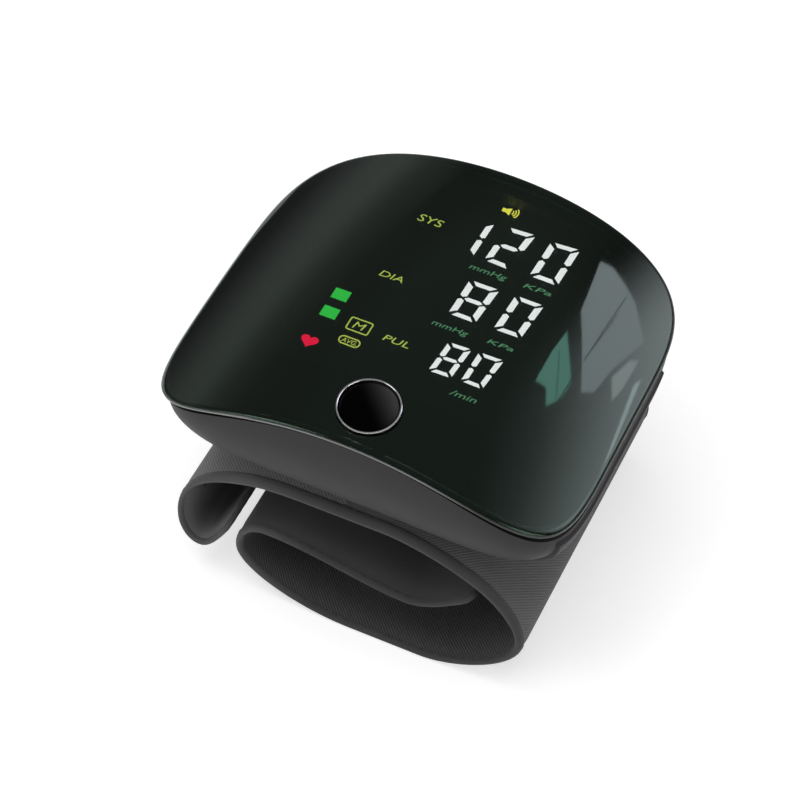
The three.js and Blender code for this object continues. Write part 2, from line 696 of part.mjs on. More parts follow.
function buildButton() {
  const ringProfile = [[ringInner, ringProud], [ringOuter, ringProud], [ringOuter, layerGap],
    [sleeveRadius, layerGap], [sleeveRadius, sleeveEnd], [ringInner, sleeveEnd], [ringInner, ringProud]];
  add('button_ring', turned(ringProfile, 32), chrome, buttonGroup);

  const stem = 1.6;
  const flangeTop = sleeveEnd - layerGap;
  const switchTop = boardTop + seatGap + switchHeight;
  const reach = (buttonGroup.position.z - switchTop) / buttonNormal.z;
  const stemEnd = -(reach - buttonTravel - 0.9);
  add('button_cap', turned([[0, -0.15], [buttonRadius * 0.6, -0.05], [buttonRadius - 0.4, 0.1],
    [buttonRadius, -0.2], [buttonRadius, flangeTop], [sleeveRadius, flangeTop],
    [sleeveRadius, flangeTop - 0.8], [stem, flangeTop - 0.8], [stem, stemEnd], [0, stemEnd]], 32),
  blackGloss, buttonGroup);
  const plungerTop = stemEnd - seatGap;
  const plungerEnd = plungerTop - 1.5;
  add('switch_plunger', turned([[0, plungerEnd], [1.1, plungerEnd], [1.1, plungerTop], [0, plungerTop]], 12),
    silicone, buttonGroup);

  const foot = buttonNormal.clone().multiplyScalar(-reach).add(buttonGroup.position);
  const base = block(foot.x - 3, foot.x + 3, foot.y - 3, foot.y + 3, boardTop + seatGap, switchTop);
  const well = post(1.1 + 0.4, foot.x, foot.y, switchTop - buttonTravel - 1, switchTop + 1, 12);
  add('tact_switch', cut(base, well), darkPlastic);
}

function tube(points) {
  const curve = new THREE.CatmullRomCurve3(points.map((p) => new THREE.Vector3(...p)));
  const ring = (radius) => [0, 1, 2, 3, 4, 5, 6, 7].map((k) => new THREE.Vector2(
    radius * Math.cos(k * Math.PI / 4), radius * Math.sin(k * Math.PI / 4)));
  const section = new THREE.Shape(ring(tubeOuter));
  section.holes.push(new THREE.Path(ring(tubeInner)));
  const steps = points.length > 2 ? 10 : 1;
  return new THREE.ExtrudeGeometry(section, { steps, extrudePath: curve, bevelEnabled: false });
}

function buildAirSystem() {
  const motorHeight = floorHeight + seatGap + motorRadius;
  const headLeft = pumpLeft + motorLength + seatGap;
  const headMiddle = headLeft + pumpHeadLength / 2;
  const airHeight = floorHeight + seatGap + manifoldSize / 2 + 0.8;
  const motor = rodAlongX(motorRadius, pumpLeft, pumpLeft + motorLength, pumpY, motorHeight, 20);
  add('pump_motor', insideCase(motor), steel);
  const headFront = pumpY - motorRadius;
  const head = block(headLeft, headLeft + pumpHeadLength, headFront, pumpY + motorRadius,
    motorHeight - motorRadius, motorHeight + motorRadius);
  const headNozzle = rodAlongY(nozzleRadius, headFront - nozzleLength, headFront + 1, headMiddle, airHeight, 12);
  add('pump_head', insideCase(join(head, headNozzle)), darkPlastic);

  const valveHeight = floorHeight + seatGap + valveRadius;
  const valveFront = headFront + 0.3;
  const valveBody = rodAlongY(valveRadius, valveFront, valveFront + valveLength, valveX, valveHeight, 16);
  const valveNozzle = rodAlongY(nozzleRadius, valveFront - nozzleLength, valveFront + 1, valveX, valveHeight, 12);
  add('exhaust_valve', insideCase(join(valveBody, valveNozzle)), steel);

  const [left, right] = [manifoldX - manifoldLength / 2, manifoldX + manifoldLength / 2];
  const [front, back] = [manifoldY - manifoldSize / 2, manifoldY + manifoldSize / 2];
  const body = block(left, right, front, back, airHeight - manifoldSize / 2 - 0.8, airHeight + manifoldSize / 2);
  add('air_manifold', join(body,
    rodAlongX(nozzleRadius, right - 1, right + nozzleLength, manifoldY, airHeight, 12),
    rodAlongX(nozzleRadius, left - nozzleLength, left + 1, manifoldY, airHeight, 12),
    rodAlongY(nozzleRadius, front - 1.6, front + 1, portX, airHeight, 12),
    rodAlongY(nozzleRadius, back - 1, back + 2, headMiddle, airHeight, 12)), whitePlastic);

  const portSide = portY + portRadius;
  const portBarb = rodAlongY(nozzleRadius, portY, portSide + 2, portX, airHeight, 12);
  const portBody = turned([[0, strapHeight - layerGap / 2], [portRadius, strapHeight - layerGap / 2],
    [portRadius, floorHeight + seatGap], [portRadius + 1.6, floorHeight + seatGap],
    [portRadius + 1.6, floorHeight + seatGap + 0.9], [portRadius, floorHeight + seatGap + 0.9],
    [portRadius, airHeight + 2.6], [0, airHeight + 2.6]], 16).translate(portX, portY, 0);
  add('cuff_port', join(portBody, portBarb), whitePlastic);

  add('port_tube', tube([[portX, portSide + seatGap, airHeight], [portX, front - seatGap, airHeight]]), silicone);
  add('pump_tube', tube([[headMiddle, back + seatGap, airHeight],
    [headMiddle, headFront - seatGap, airHeight]]), silicone);
  add('valve_tube', tube([[right + seatGap, manifoldY, airHeight], [right + 2.6, manifoldY, airHeight],
    [valveX - 0.4, manifoldY + 2.4, airHeight + 0.5], [valveX, valveFront - 3.6, valveHeight],
    [valveX, valveFront - seatGap, valveHeight]]), silicone);
  const sensorMouth = boardBottom - sensorHeight - 2 * seatGap;
  add('sensor_tube', tube([[left - seatGap, manifoldY, airHeight], [left - nozzleLength, manifoldY, airHeight],
    [sensorX + 0.9, manifoldY, airHeight + 0.9], [sensorX, manifoldY, airHeight + nozzleLength],
    [sensorX, manifoldY, sensorMouth]]), silicone);
}

function buildCuff() {
  const paths = bandPaths();
  const bendSteps = 7;
  const edge = hingeGap / 2;
  const free = bindingWidth + layerGap;
  const spans = { tail: [free, edge], strap: [edge, edge], wrap: [edge, free] };
  const tapeGap = (gap) => (gap === free ? 0 : gap);
  const clothWidth = cuffWidth - 2 * bindingWidth - 2 * layerGap;
  const coreWidth = clothWidth - 6;
  const skinLow = halfBand - skinThickness;
  const coreHigh = skinLow - coreGap;
  const portHole = post(portRadius + seatGap, portX, portY, strapHeight - layerGap / 2, caseBottom, 16);

  for (const [name, [startGap, endGap]] of Object.entries(spans)) {
    const stops = stations(name, paths[name], bendSteps, startGap, endGap);
    const outer = layer(stops, skinLow, halfBand, clothWidth);
    add(`${name}_outer_cloth`, name === 'strap' ? cut(outer, portHole) : outer, outerCloth);
    add(`${name}_lining`, layer(stops, -halfBand, -skinLow, clothWidth), liningCloth);
    const tapeStops = stations(name, paths[name], bendSteps, tapeGap(startGap), tapeGap(endGap));
    add(`${name}_binding_front`, binding(tapeStops, -1), bindingTape);
    add(`${name}_binding_back`, binding(tapeStops, 1), bindingTape);
    const core = stations(name, paths[name], bendSteps, startGap + coreMargin, endGap + coreMargin);
    if (name === 'tail') {
      add('tail_stiffener', layer(core, -coreHigh, coreHigh, coreWidth), whitePlastic);
      add('tail_binding_end', endBinding(tapeStops[0], -1, clothWidth), bindingTape);
    } else {
      const plate = layer(core, layerGap / 2, coreHigh, coreWidth);
      add(`${name}_shaper_plate`, name === 'strap' ? cut(plate, portHole) : plate, whitePlastic);
      add(`${name}_bladder`, layer(core, -coreHigh, -layerGap / 2, coreWidth), bladderFilm);
    }
    if (name === 'wrap') {
      add('wrap_binding_end', endBinding(tapeStops[tapeStops.length - 1], 1, clothWidth), bindingTape);
    }
  }

  const onTop = halfBand + layerGap;
  const hookStops = stations('tail', paths.tail, bendSteps, free, edge).slice(-bendSteps, -2);
  add('hook_patch', layer(hookStops, -onTop - patchThickness, -onTop, patchWidth), hookTape);
  const loopStops = stations('wrap', paths.wrap, bendSteps, edge, free).slice(-bendSteps, -1);
  add('loop_patch', layer(loopStops, onTop, onTop + patchThickness, patchWidth), hookTape);
}

buildHousing();
buildPower();
buildElectronics();
buildButton();
buildAirSystem();
buildCuff();

export default monitor;
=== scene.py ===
import math

import bmesh
import bpy
import numpy as np
from mathutils import Matrix, Vector


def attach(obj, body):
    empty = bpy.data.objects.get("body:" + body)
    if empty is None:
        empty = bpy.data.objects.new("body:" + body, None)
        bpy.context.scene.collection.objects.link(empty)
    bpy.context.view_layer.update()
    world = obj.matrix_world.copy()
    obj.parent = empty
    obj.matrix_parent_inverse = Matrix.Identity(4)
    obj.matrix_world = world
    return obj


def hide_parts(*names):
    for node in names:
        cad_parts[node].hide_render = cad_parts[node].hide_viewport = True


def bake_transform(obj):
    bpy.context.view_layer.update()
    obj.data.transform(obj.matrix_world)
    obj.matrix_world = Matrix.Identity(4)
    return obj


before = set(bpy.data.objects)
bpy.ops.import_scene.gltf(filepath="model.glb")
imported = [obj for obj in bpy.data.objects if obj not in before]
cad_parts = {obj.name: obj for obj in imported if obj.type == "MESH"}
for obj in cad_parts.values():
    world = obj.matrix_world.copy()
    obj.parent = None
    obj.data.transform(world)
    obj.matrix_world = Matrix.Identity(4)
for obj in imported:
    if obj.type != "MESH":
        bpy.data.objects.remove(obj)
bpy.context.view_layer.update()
scene = bpy.context.scene
mm = 0.001
finishes = {}  # every finish by its name
print("frame loaded with", len(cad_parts), "nodes")


# Wraps a socket, so that maths on it reads as maths and adds its own nodes
class Wire:
    def __init__(self, tree, socket=None):
        self.tree = tree
        self.socket = socket

    def node(self, kind, settings=None, values=None, out=0):
        made = self.tree.nodes.new(kind)
        for key, value in (settings or {}).items():
            if key == "stops":
                ramp = made.color_ramp.elements
                for place, colour in value[1:-1]:
                    ramp.new(place).color = colour
                for element, (place, colour) in ((ramp[0], value[0]), (ramp[-1], value[-1])):
                    element.position, element.color = place, colour
            else:
                setattr(made, key, value)
        for key, value in (values or {}).items():
            if isinstance(value, Wire):
                self.tree.links.new(value.socket, made.inputs[key])
            else:
                made.inputs[key].default_value = value
        return Wire(self.tree, made.outputs[out])

    def others(self, *names):  # more outputs of the same node
        return [Wire(self.tree, self.socket.node.outputs[name]) for name in names]

    def endsIn(self, kind):
        self.tree.links.new(self.socket, self.tree.nodes.new(kind).inputs[0])

    def maths(self, operation, *values):
        return self.node("ShaderNodeMath", {"operation": operation}, dict(enumerate(values)))

    def __add__(self, other):
        return self.maths("ADD", self, other)

    __radd__ = __add__

    def __sub__(self, other):
        return self.maths("SUBTRACT", self, other)

    def __rsub__(self, other):
        return self.maths("SUBTRACT", other, self)

    def __mul__(self, other):
        return self.maths("MULTIPLY", self, other)

    __rmul__ = __mul__

    def axes(self):
        return self.node("ShaderNodeSeparateXYZ", None, {0: self}).others(0, 1, 2)

    def wave(self):  # 0 to 1 and back for every whole number
        return self.maths("SINE", self * (2 * math.pi)) * 0.5 + 0.5

    def rise(self, low, high, kind="SMOOTHSTEP"):  # 0 to 1 from one value to the other
        return self.node("ShaderNodeMapRange", {"interpolation_type": kind},
                         {"Value": self, "From Min": low, "From Max": high})

    def blendTo(self, low, high):
        return self.node("ShaderNodeMix", {"data_type": "RGBA"}, {0: self, 6: low, 7: high}, out=2)


def freshTree(owner):
    owner.use_nodes = True
    owner.node_tree.nodes.clear()
    return Wire(owner.node_tree)


# A Principled material: fixed numbers go straight on its sockets, and what varies is linked with "feeds"
class Finish:
    sockets = {"colour": "Base Color", "roughness": "Roughness", "normal": "Normal", "glow": "Emission Color"}

    def __init__(self, name, fixed):
        finishes[name] = bpy.data.materials.new(name)
        self.wire = freshTree(finishes[name])
        self.shader = self.wire.node("ShaderNodeBsdfPrincipled", None, fixed)
        self.shader.endsIn("ShaderNodeOutputMaterial")

    def feeds(self, **links):
        for key, value in links.items():
            self.wire.tree.links.new(value.socket, self.shader.socket.node.inputs[self.sockets[key]])

    def place(self):
        return self.wire.node("ShaderNodeTexCoord", out="Object")

    def cut(self):  # length and width of the flat cloth, in centimetres
        return self.wire.node("ShaderNodeUVMap", {"uv_map": "cut"})

    def noise(self, size, detail=3.0, stretch=None):
        where = self.place()
        if stretch:
            where = self.wire.node("ShaderNodeMapping", None, {"Vector": where, "Scale": stretch})
        return self.wire.node("ShaderNodeTexNoise", None,
                              {"Vector": where, "Scale": 1 / (size * mm), "Detail": detail})

    def bump(self, height, depth):
        return self.wire.node("ShaderNodeBump", None,
                              {"Height": height, "Distance": depth * mm, "Strength": 1.0})


def grey(level):
    return (level, level, level, 1)


def shaded(colour, share=1.0):
    return [c * share for c in colour] + [1]


# Moulded plastic: fine spark-eroded grain, faint clouding of tone and gloss
def mouldedFinish(name, colour, roughness, grain=0.16, depth=0.012, coat=0.0, gloss=0.5):
    made = Finish(name, {"IOR": 1.5, "Coat Weight": coat, "Specular IOR Level": gloss})
    cloud = made.noise(9, 2)
    fine = made.noise(grain, 2)
    tint = cloud * 0.7 + fine * 0.3
    made.feeds(colour=tint.blendTo(shaded(colour, 0.86), shaded(colour, 1.14)),
               roughness=cloud * 0.1 + fine * 0.08 + (roughness - 0.09), normal=made.bump(fine, depth))


shadeCorner = {"x": (16, 28), "y": (-14, -26)}  # from full colour to painted shade, in millimetres


# Metal with a brushed grain, which may have painted shade, a darker colour, round the housing's front right
# corner
def metalFinish(name, colour, roughness, stretch=(1, 1, 1), shadeColour=None):
    made = Finish(name, {"Metallic": 1.0})
    brushed = made.noise(0.3, 3, stretch)
    tone = brushed.blendTo(shaded(colour, 0.9), shaded(colour))
    if shadeColour:
        # Painted shade: the metal's colour turns darker towards the front right corner
        x, y, _ = made.place().axes()
        cornerShade = [axis.rise(*(edge * mm for edge in shadeCorner[key])) for axis, key in ((x, "x"), (y, "y"))]
        tone = (cornerShade[0] * cornerShade[1]).blendTo(tone, shaded(shadeColour))
    made.feeds(colour=tone, roughness=brushed * 0.12 + (roughness - 0.06), normal=made.bump(brushed, 0.002))


# Smoked clear acrylic: the tint is the same all through, and only the polish varies
smoked = {"tint": (0.030, 0.042, 0.035), "gleam": (0.68, 1.0, 0.78), "polish": 0.035}


def smokedFinish(name):
    made = Finish(name, {"Base Color": shaded(smoked["tint"]), "Transmission Weight": 1.0, "IOR": 1.49,
                         "Specular Tint": shaded(smoked["gleam"])})
    haze = made.noise(16, 3)
    wipe = made.noise(3, 2, (0.25, 1, 1))
    made.feeds(roughness=haze * 0.03 + wipe * 0.015 + (smoked["polish"] - 0.022))


def glowFinish(name, colour, strength):
    made = Finish(name, {"Base Color": grey(0.02), "Roughness": 0.5, "Emission Strength": strength})
    made.feeds(glow=made.noise(2.2, 1).blendTo(shaded(colour, 0.88), shaded(colour)))


sheenTint = (0.7, 0.7, 0.72, 1)
plainBlend = 14  # millimetres over which the ribs give way to the plain face


# Ribbed cloth, which may end in a plain brushed face. A plain shade share below one darkens that face with
# painted shade, as where the wrap's end lies under the housing
def twillFinish(name, colour, pitch, lean, depth, sheen=0.25, plainFrom=None, plainShadeShare=0.45, contrast=0.36):
    made = Finish(name, {"Sheen Weight": sheen, "Sheen Roughness": 0.45, "Sheen Tint": sheenTint,
                         "IOR": 1.4, "Specular IOR Level": 0.25})
    along, across = (axis * 10 for axis in made.cut().axes()[:2])
    rib = (along + across * lean) * (math.sqrt(0.5) / pitch) + made.noise(5, 2) * 0.12
    yarn = (along - across * lean) * (math.sqrt(0.5) / (pitch * 0.8))
    ridge = rib.wave()
    strand = (yarn + rib.maths("FLOOR", rib) * 0.5).wave()
    fuzz = made.noise(0.22, 3)
    height = ridge * (strand * 0.35 + 0.65) + fuzz * 0.3
    cloud = made.noise(11, 3)
    # The tone follows the ribs, paler on their crests and darker in their hollows: painted shade of the ribs'
    # relief, beside the bump, as strong as the contrast
    tone = ridge * 0.6 + cloud * 0.25 + fuzz * 0.15
    dyed = tone.blendTo(shaded(colour, 1 - contrast), shaded(colour, 1 + contrast))
    if plainFrom:
        plain = along.rise(plainFrom, plainFrom + plainBlend)
        brushed = cloud * 0.6 + fuzz * 0.4
        # Painted shade: the plain face is darker by its plain shade share
        dyed = plain.blendTo(dyed, brushed.blendTo(shaded(colour, plainShadeShare * 0.85),
                                                   shaded(colour, plainShadeShare * 1.15)))
        height = height * (1 - plain * 0.9) + fuzz * plain * 0.3
    made.feeds(colour=dyed, roughness=fuzz * 0.12 + 0.78, normal=made.bump(height, depth))


edging = {"rib": 0.34, "litFrom": -8, "litTo": -26}


# Folded edge tape: fine ribs straight across its length, with painted light: paler towards the tail
def tapeFinish(name, colour, tailLitColour):
    made = Finish(name, {"Sheen Weight": 0.2, "Sheen Roughness": 0.4, "Sheen Tint": sheenTint,
                         "IOR": 1.4, "Specular IOR Level": 0.35})
    rib = (made.cut().axes()[0] * (10 / edging["rib"])).wave()
    fuzz = made.noise(0.2, 3)
    tone = rib * 0.25 + made.noise(8, 3) * 0.45 + fuzz * 0.3
    # Painted light: the tape's colour turns paler towards the tail, where it is lit more
    litShare = made.place().axes()[0].rise(edging["litFrom"] * mm, edging["litTo"] * mm)
    shades = [litShare.blendTo(shaded(colour, share), shaded(tailLitColour, share)) for share in (0.72, 1.28)]
    made.feeds(colour=tone.blendTo(*shades), roughness=fuzz * 0.15 + 0.6,
               normal=made.bump(rib * 0.6 + fuzz * 0.5, 0.03))


# Hook and loop tape: rows of tiny tufts
def pileFinish(name, colour):
    made = Finish(name, {"Sheen Weight": 0.3, "Sheen Roughness": 0.6, "IOR": 1.4, "Specular IOR Level": 0.2})
    tuft = 1 - made.wire.node("ShaderNodeTexVoronoi", None,
                              {"Vector": made.cut(), "Scale": 10 / 0.9, "Randomness": 0.55})
    fuzz = made.noise(0.2, 3)
    made.feeds(colour=(tuft * 0.6 + fuzz * 0.4).blendTo(shaded(colour, 0.45), shaded(colour)),
               roughness=fuzz * 0.1 + 0.82, normal=made.bump(tuft + fuzz * 0.4, 0.12))


smokedFinish("smokedAcrylic")
metalFinish("brightTrim", (0.21, 0.213, 0.216), 0.3, (0.2, 0.2, 1), (0.06, 0.061, 0.062))
metalFinish("ringChrome", (0.86, 0.87, 0.88), 0.14)
metalFinish("plainSteel", (0.62, 0.63, 0.65), 0.32)
mouldedFinish("darkPlastic", (0.022, 0.022, 0.023), 0.5)
mouldedFinish("casePlastic", (0.013, 0.013, 0.013), 0.52, depth=0.014, gloss=0.25)
mouldedFinish("buttonGloss", (0.001, 0.001, 0.001), 0.16, 2.5, 0.0, gloss=0.06)
mouldedFinish("maskPaint", (0.002, 0.0022, 0.002), 0.6, 0.3, 0.004, gloss=0.0)
mouldedFinish("displayBlack", (0.004, 0.0042, 0.004), 0.6, 0.3, 0.004)
mouldedFinish("whitePlastic", (0.68, 0.68, 0.64), 0.45)
mouldedFinish("silicone", (0.48, 0.5, 0.49), 0.55, 0.4, 0.006)
mouldedFinish("bladderFilm", (0.25, 0.26, 0.275), 0.5, 0.6, 0.01)
mouldedFinish("boardMask", (0.012, 0.1, 0.042), 0.4, 0.8, 0.01, 0.3)
mouldedFinish("cellSleeve", (0.028, 0.11, 0.25), 0.34, 0.5, 0.003, 0.3)
mouldedFinish("seamThread", (0.06, 0.06, 0.062), 0.75, 0.12, 0.02)
# Painted light: the tail's cloth and lining are lighter copies of the wrap's, the cloth for its lit top and
# the lining against the shade inside its curl
twillFinish("tailTwill", (0.18, 0.18, 0.182), 0.5, 1.0, 0.08)
twillFinish("wrapTwill", (0.13, 0.13, 0.132), 0.5, -1.0, 0.08, plainFrom=165.0)
twillFinish("tailLiningCloth", (0.18, 0.18, 0.182), 0.5, 1.0, 0.02, 0.15, plainFrom=-50.0, plainShadeShare=1.0)
twillFinish("wrapLiningCloth", (0.064, 0.064, 0.065), 0.5, -1.0, 0.1, 0.15, contrast=0.8)
tapeFinish("edgeTape", (0.052, 0.052, 0.053), (0.085, 0.085, 0.086))
pileFinish("hookPile", (0.03, 0.03, 0.031))
glowFinish("digitGlow", (0.85, 0.65, 0.76), 33.0)
glowFinish("labelGlow", (0.57, 0.52, 0.1), 24.0)
glowFinish("unitGlow", (0.115, 0.27, 0.155), 22.0)
glowFinish("speakerGlow", (1.0, 0.74, 0.09), 25.0)
glowFinish("barGlow", (0.035, 0.5, 0.065), 24.0)
glowFinish("heartGlow", (1.0, 0.003, 0.052), 25.0)
print("finishes:", len(finishes))


def softStep(value, low, high):
    share = np.clip((value - low) / (high - low), 0, 1)
    return share * share * (3 - 2 * share)


def smooth(mesh, sharp):
    mesh.shade_smooth()
    mesh.set_sharp_from_angle(angle=math.radians(sharp))


def turnOut(mesh):
    work = bmesh.new()
    work.from_mesh(mesh)
    bmesh.ops.recalc_face_normals(work, faces=work.faces)
    work.to_mesh(mesh)
    work.free()


def linked(name, data):
    made = bpy.data.objects.new(name, data)
    scene.collection.objects.link(made)
    return made


def newPiece(name, points, faces, finish, uv=None, sharp=40):
    mesh = bpy.data.meshes.new(name)
    mesh.from_pydata((np.asarray(points, float) * mm).tolist(), [], faces)
    mesh.validate()
    if uv is not None:
        layer = mesh.uv_layers.new(name="cut")
        corner = np.zeros(len(mesh.loops), np.int32)
        mesh.loops.foreach_get("vertex_index", corner)
        layer.data.foreach_set("uv", np.asarray(uv, np.float32)[corner].ravel())
    turnOut(mesh)
    smooth(mesh, sharp)
    mesh.materials.append(finishes[finish])
    return linked(name, mesh)


def gridFaces(rows, columns):
    starts = [i * columns + j for i in range(rows - 1) for j in range(columns - 1)]
    return [(a, a + columns, a + columns + 1, a + 1) for a in starts]


# A closed slab between two grids of points, with a rim that joins them
def slabPiece(name, top, under, finish, uv=None, sharp=40):
    rows, columns = top.shape[:2]
    size = rows * columns
    faces = []
    for a, b, c, d in gridFaces(rows, columns):
        faces += [(a, b, c, d), (size + a, size + d, size + c, size + b)]
    rim = [i * columns for i in range(rows)]
    rim += [(rows - 1) * columns + j for j in range(1, columns)]
    rim += [i * columns + columns - 1 for i in range(rows - 2, -1, -1)]
    rim += range(columns - 2, 0, -1)
    faces += [(a, size + a, size + b, b) for a, b in zip(rim, rim[1:] + rim[:1])]
    points = np.vstack([top.reshape(-1, 3), under.reshape(-1, 3)])
    if uv is not None:
        uv = np.vstack([uv.reshape(-1, 2)] * 2)
    return newPiece(name, points, faces, finish, uv, sharp)


# Faces that join rings of equal count, with the last ring joined to the first if they are looped
def ringFaces(ringCount, count, looped):
    faces = []
    for k in range(ringCount if looped else ringCount - 1):
        low, high = k * count, ((k + 1) % ringCount) * count
        for i in range(count):
            j = (i + 1) % count
            faces.append((low + i, low + j, high + j, high + i))
    return faces


# Rings joined in a loop, or closed by a fan to a point at each end
def loftPiece(name, rings, finish, ends=None, sharp=40):
    rings = np.asarray(rings, float)
    ringCount, count = rings.shape[:2]
    points = rings.reshape(-1, 3)
    faces = ringFaces(ringCount, count, ends is None)
    if ends is not None:
        points = np.vstack([points, np.asarray(ends, float)])
        first, second, last = len(points) - 2, len(points) - 1, (ringCount - 1) * count
        for i in range(count):
            j = (i + 1) % count
            faces += [(first, j, i), (second, last + i, last + j)]
    return newPiece(name, points, faces, finish, None, sharp)


def roundTurns(count):
    return np.arange(count) * 2 * math.pi / count


def turnedRings(profile, sides):
    turns = roundTurns(sides)
    return [np.column_stack([r * np.cos(turns), r * np.sin(turns), np.full(sides, z)]) for r, z in profile]


# Makes a modifier's result the piece's plain mesh
def applied(piece, modifier):
    made = bpy.data.meshes.new_from_object(piece.evaluated_get(bpy.context.evaluated_depsgraph_get()))
    piece.modifiers.remove(modifier)
    old, name = piece.data, piece.data.name
    piece.data = made
    bpy.data.meshes.remove(old)
    made.name = name
    return piece


def carve(piece, tool, operation="DIFFERENCE"):
    step = piece.modifiers.new("carve", "BOOLEAN")
    step.operation, step.solver, step.object = operation, "EXACT", tool
    applied(piece, step)
    bpy.data.objects.remove(tool)


def roundPost(name, radius, low, high, sides, centre, turn=Matrix.Identity(3)):
    post = loftPiece(name, turnedRings([(radius, low), (radius, high)], sides), "darkPlastic",
                     [(0, 0, low), (0, 0, high)])
    post.data.transform(Matrix.Translation(Vector(centre) * mm) @ turn.to_4x4())
    return post


def stand(piece, body, nodes=()):
    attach(piece, body)
    if nodes:
        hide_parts(*nodes)


# Housing: the same rules as the solids, at a finer step. Sizes in millimetres
housing = {"halfWidth": 42.0, "halfDepth": 36.1, "seamTop": 65.1, "archRise": 14.2, "crownRise": 1.7,
           "cornerFront": 6.0, "cornerBack": 4.6, "underside": 37.7, "points": 360}


def archHeight(x, y):
    return housing["seamTop"] - housing["archRise"] * (x / housing["halfWidth"]) ** 2 \
        - housing["crownRise"] * (y / housing["halfDepth"]) ** 2


def archUp(x, y):
    return Vector((2 * housing["archRise"] * x / housing["halfWidth"] ** 2,
                   2 * housing["crownRise"] * y / housing["halfDepth"] ** 2, 1)).normalized()


def planOutline(halfX, halfY):
    turns = roundTurns(housing["points"])
    c, s = np.cos(turns), np.sin(turns)
    power = np.where(s < 0, housing["cornerFront"], housing["cornerBack"])
    reach = (np.abs(c / halfX) ** power + np.abs(s / halfY) ** power) ** (-1 / power)
    return np.stack([reach * c, reach * s], 1)


def archRing(inset, raised, share=1.0):
    plan = planOutline(housing["halfWidth"] - inset, housing["halfDepth"] - inset) * share
    return np.column_stack([plan, archHeight(plan[:, 0], plan[:, 1]) + raised])


cover = {"top": 0.8, "drop": -0.9, "edge": 0.1, "lip": 1.3, "lipHeights": (-0.55, -0.2),
         "edgeInsets": (0.9, 0.5, 0.25), "chamferIn": 0.08, "chamferUp": 0.07, "roundIn": 0.8,
         "roundFrom": 0.25, "topRings": 44, "leastShare": 0.02, "roundSteps": 10, "sharp": 40,
         "holeGap": 0.15, "holeDepth": (-8, 4), "clearX": (-23, 23), "clearY": (-21, 34),
         "printWithin": 0.1, "topWithin": 0.004}

# Where the button comes through, its ring and its cap. The dome is radius and height
button = {"x": 2.0, "y": -27.4, "radius": 5.3, "guide": 0.25, "collar": 0.55, "bead": 0.34, "proud": 0.45,
          "sleeve": 0.3, "sides": 96, "skirt": 0.04, "ringFoot": -2.5, "beadWithin": 0.01, "domeTop": 0.2,
          "dome": [(0.35, 0.2), (1.2, 0.2), (2.2, 0.198), (3.2, 0.19), (4.1, 0.175), (4.7, 0.145), (5.0, 0.1),
                   (5.2, 0.0)],
          "shoulder": -0.16, "flange": 0.55, "flangeHigh": -2.6, "flangeLow": -3.4, "stem": 1.6,
          "stemLow": -4.0}
buttonTurn = Vector((0, 0, 1)).rotation_difference(archUp(button["x"], button["y"])).to_matrix()
buttonSeat = (button["x"], button["y"], archHeight(button["x"], button["y"]) + cover["top"])


# Black print on the underside, all round the display
def printCover(mesh):
    mesh.materials.append(finishes["maskPaint"])
    (left, right), (front, back) = cover["clearX"], cover["clearY"]
    for face in mesh.polygons:
        x, y, z = face.center / mm
        under = z < archHeight(x, y) + cover["drop"] + cover["printWithin"]
        face.material_index = int(under and not (left < x < right and front < y < back))


# The arch's own normals keep the reflections clean round the hole
def polishCover(mesh):
    normals = []
    for vertex in mesh.vertices:
        x, y, z = vertex.co / mm
        onTop = abs(z - archHeight(x, y) - cover["top"]) < cover["topWithin"]
        normals.append(archUp(x, y) if onTop else (0, 0, 0))
    smooth(mesh, cover["sharp"])
    mesh.normals_split_custom_set_from_vertices(normals)


def buildCover():
    lip, drop, edge, top, roundIn = (cover[key] for key in ("lip", "drop", "edge", "top", "roundIn"))
    shares = np.linspace(cover["leastShare"], 1, cover["topRings"])
    rings = [archRing(lip, drop, share) for share in shares[::2]]
    rings += [archRing(lip, height) for height in (*cover["lipHeights"], edge)]
    rings += [archRing(inset, edge) for inset in cover["edgeInsets"]]
    rings.append(archRing(cover["chamferIn"], edge + cover["chamferUp"]))
    middle = edge + cover["roundFrom"]
    for k in range(cover["roundSteps"] + 1):  # a soft round from the side up to the top
        turn = k / cover["roundSteps"] * math.pi / 2
        rings.append(archRing(roundIn * (1 - math.cos(turn)), middle + (top - middle) * math.sin(turn)))
    rings += [archRing(roundIn, top, share) for share in shares[-2::-1]]
    crown = archHeight(0, 0)
    piece = loftPiece("topCover", rings, "smokedAcrylic", [(0, 0, crown + drop), (0, 0, crown + top)])
    hole = button["radius"] + button["guide"] + button["sleeve"] + cover["holeGap"]
    carve(piece, roundPost("coverHole", hole, *cover["holeDepth"], button["sides"], buttonSeat, buttonTurn))
    printCover(piece.data)
    polishCover(piece.data)
    stand(piece, "housing", ["top_cover"])


trim = {"inset": 0.15, "width": 0.85, "top": -0.1, "height": 0.45, "bevel": 0.1, "soften": 0.3}


def buildTrim():
    out, inner = trim["inset"], trim["inset"] + trim["width"]
    top, low, bevel = trim["top"], trim["top"] - trim["height"], trim["bevel"]
    soft = bevel * trim["soften"]
    profile = [(out + bevel, top), (inner, top), (inner, low), (out + bevel, low), (out + soft, low + soft),
               (out, low + bevel), (out, top - bevel), (out + soft, top - soft)]
    piece = loftPiece("seamTrim", [archRing(inset, height) for inset, height in profile], "brightTrim")
    stand(piece, "housing", ["seam_trim"])


